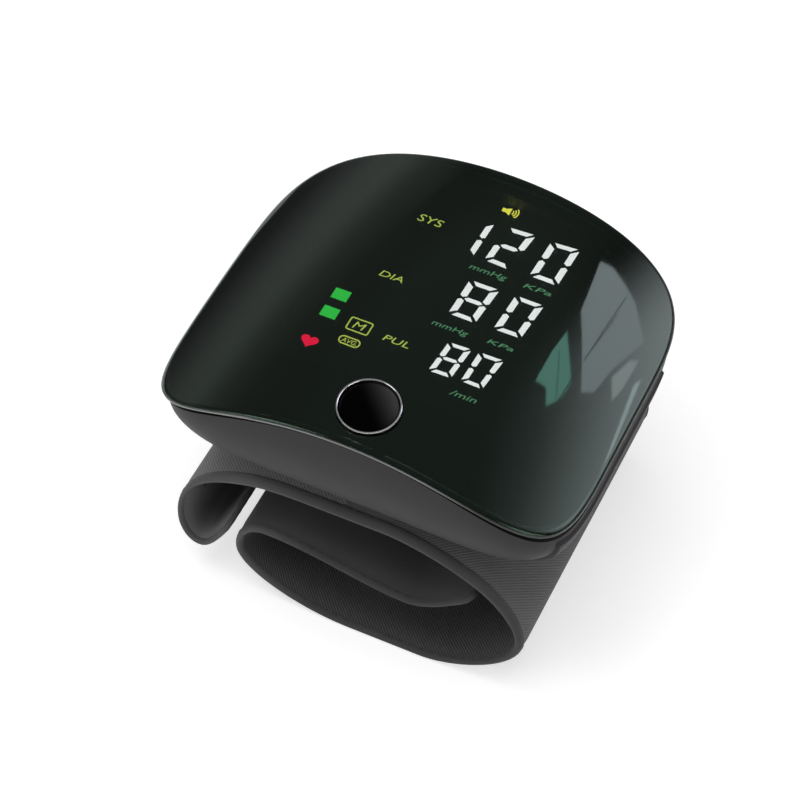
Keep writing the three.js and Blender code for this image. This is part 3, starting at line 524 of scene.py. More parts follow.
lowerCase = {"inset": 0.5, "leftInset": 1.2, "wall": 1.6, "channel": 1.15, "flare": 1.5, "sideDraw": 14.0,
             "leftDraw": 17.0, "frontDraw": 11.0, "fullness": 2.5, "leftFullness": 1.7, "steps": 36,
             "lipShare": 0.15, "shellSharp": 50, "sharp": 45}
door = {"left": 24.0, "front": -28.7, "back": 17.4, "proud": 0.45, "strip": 1.4, "gap": 0.25, "past": 5.0,
        "below": 5.8, "steps": (40, 30), "round": 0.18, "roundSteps": 2, "roundFrom": 50}


def rimHeight(x, y):
    return archHeight(x, y) - lowerCase["channel"] - lowerCase["flare"] * (x / housing["halfWidth"]) ** 2


# Rings of the boat-shaped body from its rim down to the underside
def hullRings(offset):
    c = np.cos(roundTurns(housing["points"]))
    left = c < 0
    halfX = housing["halfWidth"] - np.where(left, lowerCase["leftInset"], lowerCase["inset"]) + offset
    halfY = housing["halfDepth"] - lowerCase["inset"] + offset
    share = np.where(left, c ** 2, 0)
    power = 2 / (lowerCase["fullness"] + (lowerCase["leftFullness"] - lowerCase["fullness"]) * share)
    draw = np.where(left, lowerCase["leftDraw"], lowerCase["sideDraw"])
    rim = rimHeight(*planOutline(halfX, halfY).T)
    rings = []
    for k in range(lowerCase["steps"] + 1):
        turn = k / lowerCase["steps"] * math.pi / 2
        drawn = 1 - max(math.cos(turn), 0) ** power
        fall = math.sin(turn) ** power
        ring = planOutline(halfX - draw * drawn, halfY - lowerCase["frontDraw"] * drawn)
        rings.append(np.column_stack([ring, rim + (housing["underside"] - offset - rim) * fall]))
    return rings


def shellPiece(name, outer, inner, finish):
    outside, inside = hullRings(outer), hullRings(inner)
    lip = outside[0].copy()
    lip[:, :2] = outside[0][:, :2] * (1 - lowerCase["lipShare"]) + inside[0][:, :2] * lowerCase["lipShare"]
    ends = [(0, 0, housing["underside"] - outer), (0, 0, housing["underside"] - inner)]
    return loftPiece(name, outside[::-1] + [lip] + inside, finish, ends, lowerCase["shellSharp"])


# A block from a low plane up to the line under the case rim, as the doorway and the door's blank use it
def doorBlock(name, gap):
    x = np.linspace(door["left"] + gap, housing["halfWidth"] + door["past"], door["steps"][0])
    y = np.linspace(door["front"] + gap, door["back"] - gap, door["steps"][1])
    gx, gy = np.meshgrid(x, y, indexing="ij")
    top = np.stack([gx, gy, rimHeight(gx, gy) - door["strip"] - gap], 2)
    low = np.stack([gx, gy, np.full(gx.shape, housing["underside"] - door["below"])], 2)
    return slabPiece(name, top, low, "casePlastic")


posts = {"places": [(-27.0, -21.0), (-27.5, 15.2), (8.2, -23.0), (26.0, 23.0)], "radius": 2.5, "bore": 0.9,
         "top": 52.55, "sunk": 0.4, "sides": 32}
soundHoles = {"x": -14.0, "y": -11.0, "circle": 3.6, "radius": 0.8, "count": 6, "sides": 16}
airPort = {"x": -2.0, "y": -4.0, "radius": 3.3, "sides": 32}
holePast = 1.0  # how far a cut goes past the floor's faces


# Posts for the board's screws, each with its foot on the shell's inner wall
def buildPosts(shell):
    count, points, faces = posts["sides"], [], []
    for x, y in posts["places"]:
        rings = []
        for radius in (posts["radius"], posts["bore"]):
            foot = []
            for a in roundTurns(count):
                spot = Vector((x + radius * math.cos(a), y + radius * math.sin(a), posts["top"])) * mm
                _, place, _, _ = shell.ray_cast(spot, Vector((0, 0, -1)))
                foot.append((spot.x / mm, spot.y / mm, place.z / mm - posts["sunk"]))
            head = [(px, py, posts["top"]) for px, py, _ in foot]
            rings += [foot, head] if radius == posts["radius"] else [head, foot]
        base = len(points)
        points += [p for ring in rings for p in ring]
        faces += [tuple(base + i for i in face) for face in ringFaces(len(rings), count, True)]
    stand(newPiece("boardPosts", points, faces, "casePlastic"), "housing")


def floorHole(shell, name, size, x, y):
    low, high = housing["underside"] - holePast, housing["underside"] + lowerCase["wall"] + holePast
    carve(shell, roundPost(name, size["radius"], low, high, size["sides"], (x, y, 0)))


def buildCase():
    shell = shellPiece("lowerCase", 0, -lowerCase["wall"], "casePlastic")
    carve(shell, doorBlock("doorway", 0))
    for turn in roundTurns(soundHoles["count"]):
        floorHole(shell, "soundHole", soundHoles, soundHoles["x"] + soundHoles["circle"] * math.cos(turn),
                  soundHoles["y"] + soundHoles["circle"] * math.sin(turn))
    floorHole(shell, "portHole", airPort, airPort["x"], airPort["y"])
    smooth(shell.data, lowerCase["sharp"])
    stand(shell, "housing", ["lower_case"])
    buildPosts(shell)

    lid = shellPiece("batteryDoor", door["proud"], -lowerCase["wall"], "casePlastic")
    carve(lid, doorBlock("doorBlank", door["gap"]), "INTERSECT")
    edge = lid.modifiers.new("edge", "BEVEL")
    edge.width, edge.segments = door["round"] * mm, door["roundSteps"]
    edge.limit_method, edge.angle_limit = "ANGLE", math.radians(door["roundFrom"])
    applied(lid, edge)
    smooth(lid.data, lowerCase["sharp"])
    stand(lid, "door", ["battery_door"])


# The button's cap: black, with a painted highlight, a faint paler sheen painted into its colour towards the
# back right
capPaintedSheen = {"dark": 0.0006, "pale": 0.055, "begin": -0.7, "end": 5.4, "way": (0.7, 0.71)}


def capFinish(name):
    made = Finish(name, {"IOR": 1.5, "Specular IOR Level": 0.02})
    x, y, _ = made.place().axes()
    x, y = (axis * (1 / mm) - button[key] for axis, key in ((x, "x"), (y, "y")))
    reach = x * capPaintedSheen["way"][0] + y * capPaintedSheen["way"][1]
    # Painted highlight: the colour grows paler towards the back right, as a reflection of the window would
    paintedSheen = reach.rise(capPaintedSheen["begin"], capPaintedSheen["end"], "LINEAR")
    paintedSheen = paintedSheen * paintedSheen * (made.noise(2.5, 2) * 0.2 + 0.9)
    made.feeds(colour=paintedSheen.blendTo(grey(capPaintedSheen["dark"]), grey(capPaintedSheen["pale"])),
               roughness=made.noise(9, 2) * 0.1 + 0.14)


def buildButton():
    inner = button["radius"] + button["guide"]
    outer, sleeve, bead = (inner + button[key] for key in ("collar", "sleeve", "bead"))
    high, sides, skirt, foot = button["proud"], button["sides"], button["skirt"], button["ringFoot"]
    place = Matrix.Translation(Vector(buttonSeat) * mm) @ buttonTurn.to_4x4()
    # Radius and height: the bead with its small rounds, the sloped skirt, and the sleeve
    profile = [(inner, high - 0.16), (inner + 0.04, high - 0.06), (inner + 0.12, high), (bead - 0.12, high),
               (bead - 0.03, high - 0.05), (bead, high - 0.14), (outer - 0.05, 0.12), (outer, 0.07),
               (outer, skirt), (sleeve, skirt), (sleeve, foot), (inner, foot)]
    ring = loftPiece("buttonRing", turnedRings(profile, sides), "ringChrome")
    ring.data.materials.append(finishes["buttonGloss"])  # only the bead is bright, its skirt is black
    for face in ring.data.polygons:
        x, y, _ = face.center
        face.material_index = int(math.hypot(x, y) > (bead - button["beadWithin"]) * mm)
    ring.data.transform(place)
    stand(ring, "housing", ["button_ring"])

    capFinish("capGloss")
    side, wide = button["radius"], button["radius"] + button["flange"]
    profile = button["dome"] + [
        (side, button["shoulder"]), (side, button["flangeHigh"]), (wide, button["flangeHigh"]),
        (wide, button["flangeLow"]), (button["stem"], button["flangeLow"]),
        (button["stem"], button["stemLow"])]
    cap = loftPiece("startButton", turnedRings(profile, sides), "capGloss",
                    [(0, 0, button["domeTop"]), (0, 0, button["stemLow"])])
    cap.data.transform(place)
    stand(cap, "start_button", ["button_cap"])


# Lit display: flat plates on the film, each colour one piece
display = {"film": 59.6, "low": 0.03, "high": 0.09, "sharp": 20}
segmentShapes = {  # corners in a digit's own width and height
    "a": [(0.14, 1.0), (0.91, 1.0), (0.75, 0.905), (0.28, 0.905)],
    "b": [(1.0, 0.95), (1.0, 0.565), (0.9, 0.528), (0.78, 0.57), (0.78, 0.845)],
    "c": [(0.9, 0.472), (1.0, 0.435), (1.0, 0.05), (0.78, 0.155), (0.78, 0.43)],
    "d": [(0.27, 0.095), (0.74, 0.095), (0.89, 0.0), (0.13, 0.0)],
    "e": [(0.1, 0.472), (0.22, 0.43), (0.22, 0.155), (0.0, 0.05), (0.0, 0.435)],
    "f": [(0.0, 0.95), (0.22, 0.845), (0.22, 0.57), (0.1, 0.528), (0.0, 0.565)],
    "g": [(0.19, 0.5), (0.3, 0.547), (0.71, 0.547), (0.82, 0.5), (0.71, 0.453), (0.3, 0.453)],
}
digitSegments = {"0": "abcdef", "1": "bc", "2": "abged", "8": "abcdefg"}
digits = [  # figure, then its top left, top right, bottom left and bottom right corners
    ("1", (-2.8, 26.25), (2.3, 26.25), (-3.1, 16.75), (2.0, 16.75)),
    ("2", (4.7, 26.45), (10.5, 26.75), (4.25, 17.0), (9.35, 16.7)),
    ("0", (13.7, 26.5), (19.4, 26.9), (13.35, 17.0), (19.0, 16.9)),
    ("8", (3.95, 11.25), (9.9, 11.3), (3.7, 2.15), (9.1, 2.05)),
    ("0", (13.1, 11.4), (18.8, 11.3), (12.65, 2.25), (18.05, 2.3)),
    ("8", (6.7, -4.15), (11.2, -4.0), (6.15, -11.8), (10.55, -11.65)),
    ("0", (12.65, -3.95), (17.5, -3.9), (12.4, -11.5), (16.65, -11.6)),
]
lettering = {"lean": 0.18, "deep": 0.5, "thinned": 0.006, "curveSteps": 4}
amberWords = [  # words, then the left, low, right and high sides of their box
    ("SYS", -11.3, 20.8, -6.3, 22.6), ("DIA", -11.7, 5.1, -7.0, 6.5), ("PUL", -4.4, -8.8, 0.7, -7.4),
    ("M", -10.6, -8.5, -8.3, -6.9), ("AVG.", -11.0, -12.3, -8.0, -11.3)]
unitWords = [
    ("mmHg", 2.5, 13.5, 9.9, 15.1), ("mmHg", 2.0, -1.9, 9.1, -0.4), ("KPa", 13.4, 13.9, 18.9, 15.0),
    ("KPa", 12.9, -1.3, 18.0, -0.3), ("/min", 11.8, -15.2, 16.9, -13.9)]
wordFrames = {"boxes": [(-11.7, -9.3, -7.2, -6.1, 0.5), (-11.6, -12.8, -7.4, -10.8, 0.9)], "line": 0.24,
              "cornerSteps": 7}  # left, low, right, high and corner radius of each box
speaker = {"box": (2.1, 29.8, 2.9, 30.7), "horn": (3.8, 29.3, 31.2), "centre": (3.7, 30.25),
           "arcs": (0.75, 1.25, 1.75), "line": 0.22, "step": 0.19, "steps": 4}
levelBars = {"left": -17.3, "right": -14.2, "lows": (-3.6, -8.3), "tall": 2.55}
heart = {"x": -16.1, "y": -14.75, "wide": 0.104, "tall": 0.098, "points": 40}


def plateMesh(outline):
    count = len(outline)
    points = [(x, y, display["film"] + display[side]) for side in ("high", "low") for x, y in outline]
    faces = [tuple(range(count)), tuple(range(2 * count - 1, count - 1, -1))]
    faces += [(i, count + i, count + (i + 1) % count, (i + 1) % count) for i in range(count)]
    return points, faces


def wordMesh(words, x0, y0, x1, y1):
    curve = bpy.data.curves.new("label", "FONT")
    curve.body, curve.shear, curve.extrude = words, lettering["lean"], lettering["deep"]
    curve.offset, curve.resolution_u = -lettering["thinned"], lettering["curveSteps"]
    holder = linked("label", curve)
    made = bpy.data.meshes.new_from_object(holder.evaluated_get(bpy.context.evaluated_depsgraph_get()))
    spots = np.array([v.co for v in made.vertices])
    unit = (spots - spots.min(0)) / (spots.max(0) - spots.min(0))
    low = np.array((x0, y0, display["film"] + display["low"]))
    high = np.array((x1, y1, display["film"] + display["high"]))
    faces = [tuple(face.vertices) for face in made.polygons]
    bpy.data.objects.remove(holder)
    bpy.data.curves.remove(curve)
    bpy.data.meshes.remove(made)
    return (low + (high - low) * unit).tolist(), faces


def litPiece(name, finish, outlines=(), words=()):
    points, faces = [], []
    for spots, loops in [wordMesh(*row) for row in words] + [plateMesh(outline) for outline in outlines]:
        faces += [tuple(len(points) + i for i in loop) for loop in loops]
        points += spots
    stand(newPiece(name, points, faces, finish, sharp=display["sharp"]), "housing")


def figure(mark, topLeft, topRight, lowLeft, lowRight):
    a, b, c, d = (np.array(p) for p in (lowLeft, lowRight, topLeft, topRight))

    def spot(u, v):
        return tuple((a * (1 - u) + b * u) * (1 - v) + (c * (1 - u) + d * u) * v)
    return [[spot(u, v) for u, v in segmentShapes[s]] for s in digitSegments[mark]]


# The line round a word, as a row of small plates
def frameOutlines(x0, y0, x1, y1, radius):
    def loop(inset):
        r = radius - inset
        middles = ((x1 - radius, y1 - radius), (x0 + radius, y1 - radius),
                   (x0 + radius, y0 + radius), (x1 - radius, y0 + radius))
        quarter = np.linspace(0, math.pi / 2, wordFrames["cornerSteps"])
        turns = [(middle, k * math.pi / 2 + a) for k, middle in enumerate(middles) for a in quarter]
        return [(x + r * math.cos(a), y + r * math.sin(a)) for (x, y), a in turns]
    outer, inner = loop(0), loop(wordFrames["line"])
    return [[outer[i - 1], outer[i], inner[i], inner[i - 1]] for i in range(len(outer))]


def speakerOutlines():
    left, low, right, high = speaker["box"]
    tip, tipLow, tipHigh = speaker["horn"]
    x, y = speaker["centre"]
    outlines = [[(left, low), (right, low), (right, high), (left, high)],
                [(right, low), (tip, tipLow), (tip, tipHigh), (right, high)]]
    turns = [k * speaker["step"] for k in range(-speaker["steps"], speaker["steps"] + 1)]
    for reach in speaker["arcs"]:
        arc = [(reach, a) for a in turns] + [(reach - speaker["line"], a) for a in turns[::-1]]
        outlines.append([(x + r * math.cos(a), y + r * math.sin(a)) for r, a in arc])
    return outlines


def heartOutline():
    outline = []
    for t in roundTurns(heart["points"]):
        x = 16 * math.sin(t) ** 3
        y = 13 * math.cos(t) - 5 * math.cos(2 * t) - 2 * math.cos(3 * t) - math.cos(4 * t)
        outline.append((heart["x"] + x * heart["wide"], heart["y"] + y * heart["tall"]))
    return outline


def buildDisplay():
    litPiece("digits", "digitGlow", [shape for digit in digits for shape in figure(*digit)])
    boxes = [plate for box in wordFrames["boxes"] for plate in frameOutlines(*box)]
    litPiece("amberLabels", "labelGlow", boxes, amberWords)
    litPiece("speakerMark", "speakerGlow", speakerOutlines())
    litPiece("unitLabels", "unitGlow", words=unitWords)
    left, right, tall = levelBars["left"], levelBars["right"], levelBars["tall"]
    litPiece("levelBars", "barGlow",
             [[(left, y), (right, y), (right, y + tall), (left, y + tall)] for y in levelBars["lows"]])
    litPiece("heartMark", "heartGlow", [heartOutline()])


buildCover()
buildTrim()
buildCase()
buildButton()
buildDisplay()
print("housing, button and display built")


# Cuff: one band of lined cloth. Its middle line is repeated from the solids, in millimetres
cuff = {"thick": 2.6, "width": 64.0, "strap": 36.1, "loopRight": 33.9, "loopLeft": -23.9, "footLeft": -1.0,
        "footRight": 14.0, "tailLeft": -36.4, "tailLow": 9.75, "tip": (-27.17, 18.3),
        "tailHinge": (-26.8, 32.51), "tailSlope": (0.88, 0.47), "wrapHinge": (27.6, 28.49),
        "wrapSlope": (0.75, -0.66), "meet": -2.0, "step": 0.6, "cornerRadius": 2.6, "cornerSteps": 8,
        "endSteps": 90, "tailShare": 0.42, "tailThinDrop": 11.0, "wrapShare": 0.5, "wrapThinDrop": 29.0}


def bezier(a, b, c, d):
    reach = np.linalg.norm(b - a) + np.linalg.norm(c - b) + np.linalg.norm(d - c)
    t = np.linspace(0, 1, max(6, int(reach / cuff["step"])) + 1)[:, None]
    return a * (1 - t) ** 3 + 3 * b * t * (1 - t) ** 2 + 3 * c * t ** 2 * (1 - t) + d * t ** 3


# Curves end to end: each takes the last point before it and three more
def curves(*points):
    points = np.array(points, float)
    return [bezier(*points[i:i + 4]) for i in range(0, len(points) - 1, 3)]


def straight(a, b):
    a, b = np.array(a, float), np.array(b, float)
    t = np.linspace(0, 1, max(2, int(np.linalg.norm(b - a) / cuff["step"])) + 1)[:, None]
    return a * (1 - t) + b * t


# Both lines as curves through the solids' own points: hundredths of a height or width, and millimetres
def middleLines():
    high, foot = cuff["strap"], cuff["thick"] / 2
    (tx, tz), (sx, sz), (hx, hz) = cuff["tip"], cuff["tailSlope"], cuff["tailHinge"]
    (wx, wz), (vx, vz) = cuff["wrapHinge"], cuff["wrapSlope"]
    left, low, footLeft, footRight = (cuff[key] for key in ("tailLeft", "tailLow", "footLeft", "footRight"))
    loopRight, loopLeft = cuff["loopRight"], cuff["loopLeft"]
    tall, wide, tailTall = high / 100, (loopRight - loopLeft) / 100, (high - low) / 100
    bend, dip = high - 63.25 * tall, high - 56 * tall
    tailEnd, wrapStart = (loopLeft + 13.9, high), (loopRight - 27.9, high)
    tail = curves(
        (tx, tz), (tx - 2.2, tz - 15.32 * tailTall), (left + 4.7, low), (left + 3.1, low),
        (left + 1.3, low), (left, low + 10.61 * tailTall), (left, low + 23.18 * tailTall),
        (left, low + 51.08 * tailTall), (hx - 6.5 * sx, hz - 6.5 * sz), (hx, hz),
        (hx + 6 * sx, hz + 6 * sz), (loopLeft + 6.9, high), tailEnd)
    tail.append(straight(tailEnd, (cuff["meet"], high)))
    wrap = [straight((cuff["meet"], high), wrapStart)]
    wrap += curves(
        wrapStart, (loopRight - 19.9, high), (wx - 5 * vx, wz - 5 * vz), (wx, wz),
        (wx + 4.5 * vx, wz + 4.5 * vz), (loopRight, high - 40.66 * tall), (loopRight, high - 54.22 * tall),
        (loopRight, high - 73.8 * tall), (footRight + 7.5, foot), (footRight, foot))
    wrap.append(straight((footRight, foot), (footLeft, foot)))
    wrap += curves(
        (footLeft, foot), (footLeft - 20 * wide, foot), (loopLeft, foot + 17 * tall), (loopLeft, bend),
        (loopLeft, high - 52.41 * tall), (loopLeft + 2.4, high - 43.98 * tall),
        (loopLeft + 5.3, high - 43.67 * tall),
        (loopLeft + 14.3, high - 41.87 * tall), (loopRight - 53.46 * wide, dip),
        (loopRight - 39.62 * wide, dip),
        (loopRight - 30.97 * wide, dip), (loopRight - 12.6, high - 40.96 * tall),
        (loopRight - 8.5, high - 31.93 * tall))
    return [np.vstack([part[0][:1]] + [p[1:] for p in part]) for part in (tail, wrap)]


# A stretch of the band: turns length, width and height over the middle line into a point
class Band:
    def __init__(self, line, start, part):
        self.line, self.start, self.freeAtStart = line, start, part == "tail"
        steps = np.linalg.norm(np.diff(line, axis=0), axis=1)
        self.length = np.concatenate([[0], np.cumsum(steps)])
        tangent = np.gradient(line, self.length, axis=0)
        self.tangent = tangent / np.linalg.norm(tangent, axis=1)[:, None]
        self.total = self.length[-1]
        fall = softStep(cuff["strap"] - line[:, 1], 0, cuff[part + "ThinDrop"])
        share = 1 + (cuff[part + "Share"] - 1) * fall
        way = -1 if self.freeAtStart else 1
        self.share = np.minimum.accumulate(share[::way])[::way]  # only ever thinner towards the free end

    def fromFree(self, s):  # from a length to the distance from the free end, and back
        return s if self.freeAtStart else self.total - s

    def spot(self, s, y, o):
        s, y, o = np.broadcast_arrays(np.asarray(s, float), np.asarray(y, float), np.asarray(o, float))
        inside = np.clip(s, 0, self.total)
        base, way = (np.stack([np.interp(inside, self.length, values[:, i]) for i in (0, 1)], -1)
                     for values in (self.line, self.tangent))
        way = way / np.linalg.norm(way, axis=-1, keepdims=True)
        base = base + way * (s - inside)[..., None]
        out = np.stack([-way[..., 1], way[..., 0]], -1)
        half = cuff["thick"] / 2
        flat = base + out * (half - (half - o) * np.interp(inside, self.length, self.share))[..., None]
        return np.stack([flat[..., 0], y, flat[..., 1]], -1)


def halfWidthAt(fromFree, inset):
    r, edge = cuff["cornerRadius"], cuff["width"] / 2
    near = np.clip(r - fromFree, 0, r)
    return edge - r + np.sqrt(np.maximum(r * r - near * near, 0)) - inset


cloth = {"inset": 0.75, "begin": 0.9, "columns": 64, "skin": 0.7, "edgeSkin": 0.55, "pinch": 0.22,
         "gripFrom": 1.7, "gripTo": 3.9, "swell": 0.05, "swellLong": 7.3, "swellWide": 13.0, "wander": 1.7,
         "wanderWide": 11.0, "sharp": 60}


# One layer of cloth as a thin closed shell, pinched where the edge tape grips it
def clothPiece(name, band, side, finish):
    s = np.concatenate([np.arange(cloth["begin"], band.total, cuff["step"]), [band.total]])
    if not band.freeAtStart:
        s = band.total - s[::-1]
    along = s[:, None] * np.ones(cloth["columns"] + 1)
    free = band.fromFree(along)
    across = np.linspace(-1, 1, cloth["columns"] + 1)[None, :] * halfWidthAt(free, cloth["inset"])
    edge = np.minimum(cuff["width"] / 2 - np.abs(across), free)
    grip = softStep(edge, cloth["gripFrom"], cloth["gripTo"])
    ripple = np.sin(along / cloth["swellLong"] + cloth["wander"] * np.sin(across / cloth["wanderWide"]))
    swell = cloth["swell"] * ripple * np.cos(across / cloth["swellWide"]) * grip
    high = cuff["thick"] / 2 - cloth["pinch"] * (1 - grip) + swell
    low = high - cloth["skin"] * (cloth["edgeSkin"] + (1 - cloth["edgeSkin"]) * grip)
    top, under = (band.spot(along, across, side * level) for level in (high, low))
    uv = np.stack([along + band.start, across], -1) / 10
    return slabPiece(name, top, under, finish, uv, cloth["sharp"])


# Line round the band at a depth in from its edge: along one side, round the free end and back
def edgeLine(band, depth):
    r, edge = cuff["cornerRadius"], cuff["width"] / 2
    run = np.arange(band.total, r + 0.01, -cuff["step"])
    turns = np.radians(np.linspace(0, 90, cuff["cornerSteps"]))
    cross = np.linspace(-edge + r, edge - r, cuff["endSteps"])[1:-1]
    line = [(s, -edge, 0, 1) for s in run]
    line += [(r - r * math.sin(t), -edge + r - r * math.cos(t), math.sin(t), math.cos(t)) for t in turns]
    line += [(0, y, 1, 0) for y in cross]
    line += [(r - r * math.cos(t), edge - r + r * math.sin(t), math.cos(t), -math.sin(t)) for t in turns]
    line += [(s, edge, 0, -1) for s in run[::-1]]
    line = np.array(line)
    narrow = np.sqrt(np.interp(band.fromFree(line[:, 0]), band.length, band.share))
    return line[:, :2] + line[:, 2:] * (depth * narrow)[:, None]


def runLength(points):
    return np.concatenate([[0], np.cumsum(np.linalg.norm(np.diff(np.array(points), axis=0), axis=1))])


tape = {"lap": 1.8, "thick": 0.32, "arcSteps": 10, "proud": 0.04, "lipDrop": 0.14, "softDrop": 0.02,
        "softIn": 0.1, "flatIn": 0.5, "innerIn": 0.05, "sharp": 55}


def tapePiece(name, band, finish):
    lap, high = tape["lap"], cuff["thick"] / 2 + tape["proud"]
    low = high - tape["thick"]
    turns = [k / tape["arcSteps"] * math.pi for k in range(tape["arcSteps"] + 1)]
    lip = [(lap, high - tape["lipDrop"]), (lap - tape["softIn"], high - tape["softDrop"]),
           (lap - tape["flatIn"], high)]
    fold = [(high * (1 - math.sin(t)), high * math.cos(t)) for t in turns]
    outside = lip + fold + [(depth, -height) for depth, height in lip[::-1]]
    inside = [(high - low * math.sin(t), low * math.cos(t)) for t in turns[::-1]]
    foot = lap - tape["innerIn"]
    profile = outside + [(foot, -low)] + inside + [(foot, low)]
    rings = []
    for depth, offset in profile:
        flat = edgeLine(band, depth)
        rings.append(band.spot(band.fromFree(flat[:, 0]), flat[:, 1], offset))
    rings = np.array(rings)  # profile, line, xyz
    count, stops = rings.shape[:2]
    girth, run = runLength(profile) / 10, runLength(edgeLine(band, 0.0)) / 10
    uv = np.stack(np.meshgrid(girth, run, indexing="ij")[::-1], -1).reshape(-1, 2)
    faces = []
    for i in range(count):
        j = (i + 1) % count
        for k in range(stops - 1):
            faces.append((i * stops + k, j * stops + k, j * stops + k + 1, i * stops + k + 1))
    faces.append(tuple(i * stops for i in range(count)))
    faces.append(tuple(i * stops + stops - 1 for i in range(count - 1, -1, -1)))
    return newPiece(name, rings.reshape(-1, 3), faces, finish, uv, tape["sharp"])


# Rows of thread along a line, by a node tree with its sizes as inputs
stitching = {"depth": 1.5, "pitch": 2.3, "length": 0.85, "thread": 0.1, "sunk": 0.04}


def stitchTree():
    tree = bpy.data.node_groups.new("stitchRow", "GeometryNodeTree")
    face = tree.interface
    face.new_socket("Line", in_out="INPUT", socket_type="NodeSocketGeometry")
    for name in ("Pitch", "Stitch half length", "Thread radius"):
        face.new_socket(name, in_out="INPUT", socket_type="NodeSocketFloat")
    face.new_socket("Thread", in_out="INPUT", socket_type="NodeSocketMaterial")
    face.new_socket("Stitches", in_out="OUTPUT", socket_type="NodeSocketGeometry")
    wire = Wire(tree)
    given = {s.name: Wire(tree, s) for s in tree.nodes.new("NodeGroupInput").outputs}
    thin = given["Thread radius"]
    curve = wire.node("GeometryNodeMeshToCurve", None, {"Mesh": given["Line"]})
    points = wire.node("GeometryNodeCurveToPoints", {"mode": "LENGTH"},
                       {"Curve": curve, "Length": given["Pitch"]})
    tangent, = points.others("Tangent")
    turn = wire.node("FunctionNodeAlignRotationToVector", {"axis": "Z"}, {"Vector": tangent})
    bead = wire.node("GeometryNodeMeshUVSphere", None, {"Segments": 6, "Rings": 5, "Radius": 1.0})
    size = wire.node("ShaderNodeCombineXYZ", None, {"X": thin, "Y": thin, "Z": given["Stitch half length"]})
    rows = wire.node("GeometryNodeInstanceOnPoints", None,
                     {"Points": points, "Instance": bead, "Rotation": turn, "Scale": size})
    real = wire.node("GeometryNodeRealizeInstances", None, {"Geometry": rows})
    soft = wire.node("GeometryNodeSetShadeSmooth", None, {0: real})
    dyed = wire.node("GeometryNodeSetMaterial", None, {"Geometry": soft, "Material": given["Thread"]})
    dyed.endsIn("NodeGroupOutput")
    return tree


def stitchPiece(name, band, tree):
    line = edgeLine(band, stitching["depth"])
    high = cuff["thick"] / 2 - stitching["sunk"]
    points, edges = [], []
    for side in (1, -1):
        row = band.spot(band.fromFree(line[:, 0]), line[:, 1], side * high) * mm
        base = len(points)
        points += row.tolist()
        edges += [(base + i, base + i + 1) for i in range(len(row) - 1)]
    mesh = bpy.data.meshes.new(name)
    mesh.from_pydata(points, edges, [])
    piece = linked(name, mesh)
    rows = piece.modifiers.new("rows", "NODES")
    rows.node_group = tree
    given = {"Pitch": stitching["pitch"] * mm, "Stitch half length": stitching["length"] * mm,
             "Thread radius": stitching["thread"] * mm, "Thread": finishes["seamThread"]}
    for item in tree.interface.items_tree:
        if item.name in given:
            rows[item.identifier] = given[item.name]
    return applied(piece, rows)


# The hook's ends are lengths from the tail's tip, and the loop's are from the wrap's free end
patch = {"gap": 0.08, "high": 0.58, "halfWidth": 23.0, "columns": 48, "edgeShare": 0.35, "edgeRound": 0.8,
         "sharp": 50, "hook": (17.0, 29.0), "loop": (16.0, 4.0)}


# Patch of hook or loop tape on one face of the band
def patchPiece(name, band, begin, end, side, finish):
    inner, outer = cuff["thick"] / 2 + patch["gap"], cuff["thick"] / 2 + patch["high"]
    s = np.arange(begin, end, cuff["step"])
    y = np.linspace(-patch["halfWidth"], patch["halfWidth"], patch["columns"])
    along, across = np.meshgrid(s, y, indexing="ij")
    edge = np.minimum(np.minimum(along - s[0], s[-1] - along), patch["halfWidth"] - np.abs(across))
    swell = patch["edgeShare"] + (1 - patch["edgeShare"]) * np.clip(edge / patch["edgeRound"], 0, 1) ** 0.5
    high = inner + (outer - inner) * swell
    top, under = (band.spot(along, across, side * level) for level in (high, inner))
    return slabPiece(name, top, under, finish, np.stack([along, across], -1) / 10, patch["sharp"])


# For each part of the cuff: its body, the heights over which the cloth bends, and what stiffens it
cuffParts = {"tail": {"body": "cuff_tail", "start": 33.6, "end": 29.1, "core": "tail_stiffener"},
             "wrap": {"body": "cuff_wrap", "start": 29.9, "end": 26.9, "core": "wrap_shaper_plate"}}


def buildCuff():
    tailLine, wrapLine = middleLines()
    tailBand = Band(tailLine, 0, "tail")
    wrapBand = Band(wrapLine, tailBand.total, "wrap")
    tree = stitchTree()
    for part, band in (("tail", tailBand), ("wrap", wrapBand)):
        outer = clothPiece(part + "OuterCloth", band, 1, part + "Twill")
        lining = clothPiece(part + "Lining", band, -1, part + "LiningCloth")
        edgeTape = tapePiece(part + "EdgeTape", band, "edgeTape")
        thread = stitchPiece(part + "Stitches", band, tree)
        bend = cuffParts[part]
        start, end = (0, 0, bend["start"] * mm), (0, 0, bend["end"] * mm)
        for piece in (outer, lining, edgeTape, thread):
            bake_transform(piece)
        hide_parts(part + "_outer_cloth")
        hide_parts(part + "_lining")
        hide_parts(part + "_binding_front", part + "_binding_back", part + "_binding_end")
        if part == "tail":
            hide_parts("strap_outer_cloth")
            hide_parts("strap_lining")
            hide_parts("strap_binding_front", "strap_binding_back")
    hook = patchPiece("hookPatch", tailBand, *patch["hook"], -1, "hookPile")
    stand(hook, "cuff_tail", ["hook_patch"])
    begin, end = (wrapBand.total - back for back in patch["loop"])
    loop = patchPiece("loopPatch", wrapBand, begin, end, 1, "hookPile")
    stand(loop, "cuff_wrap", ["loop_patch"])
    print("cuff built:", round(tailBand.total), "and", round(wrapBand.total), "mm long")


buildCuff()

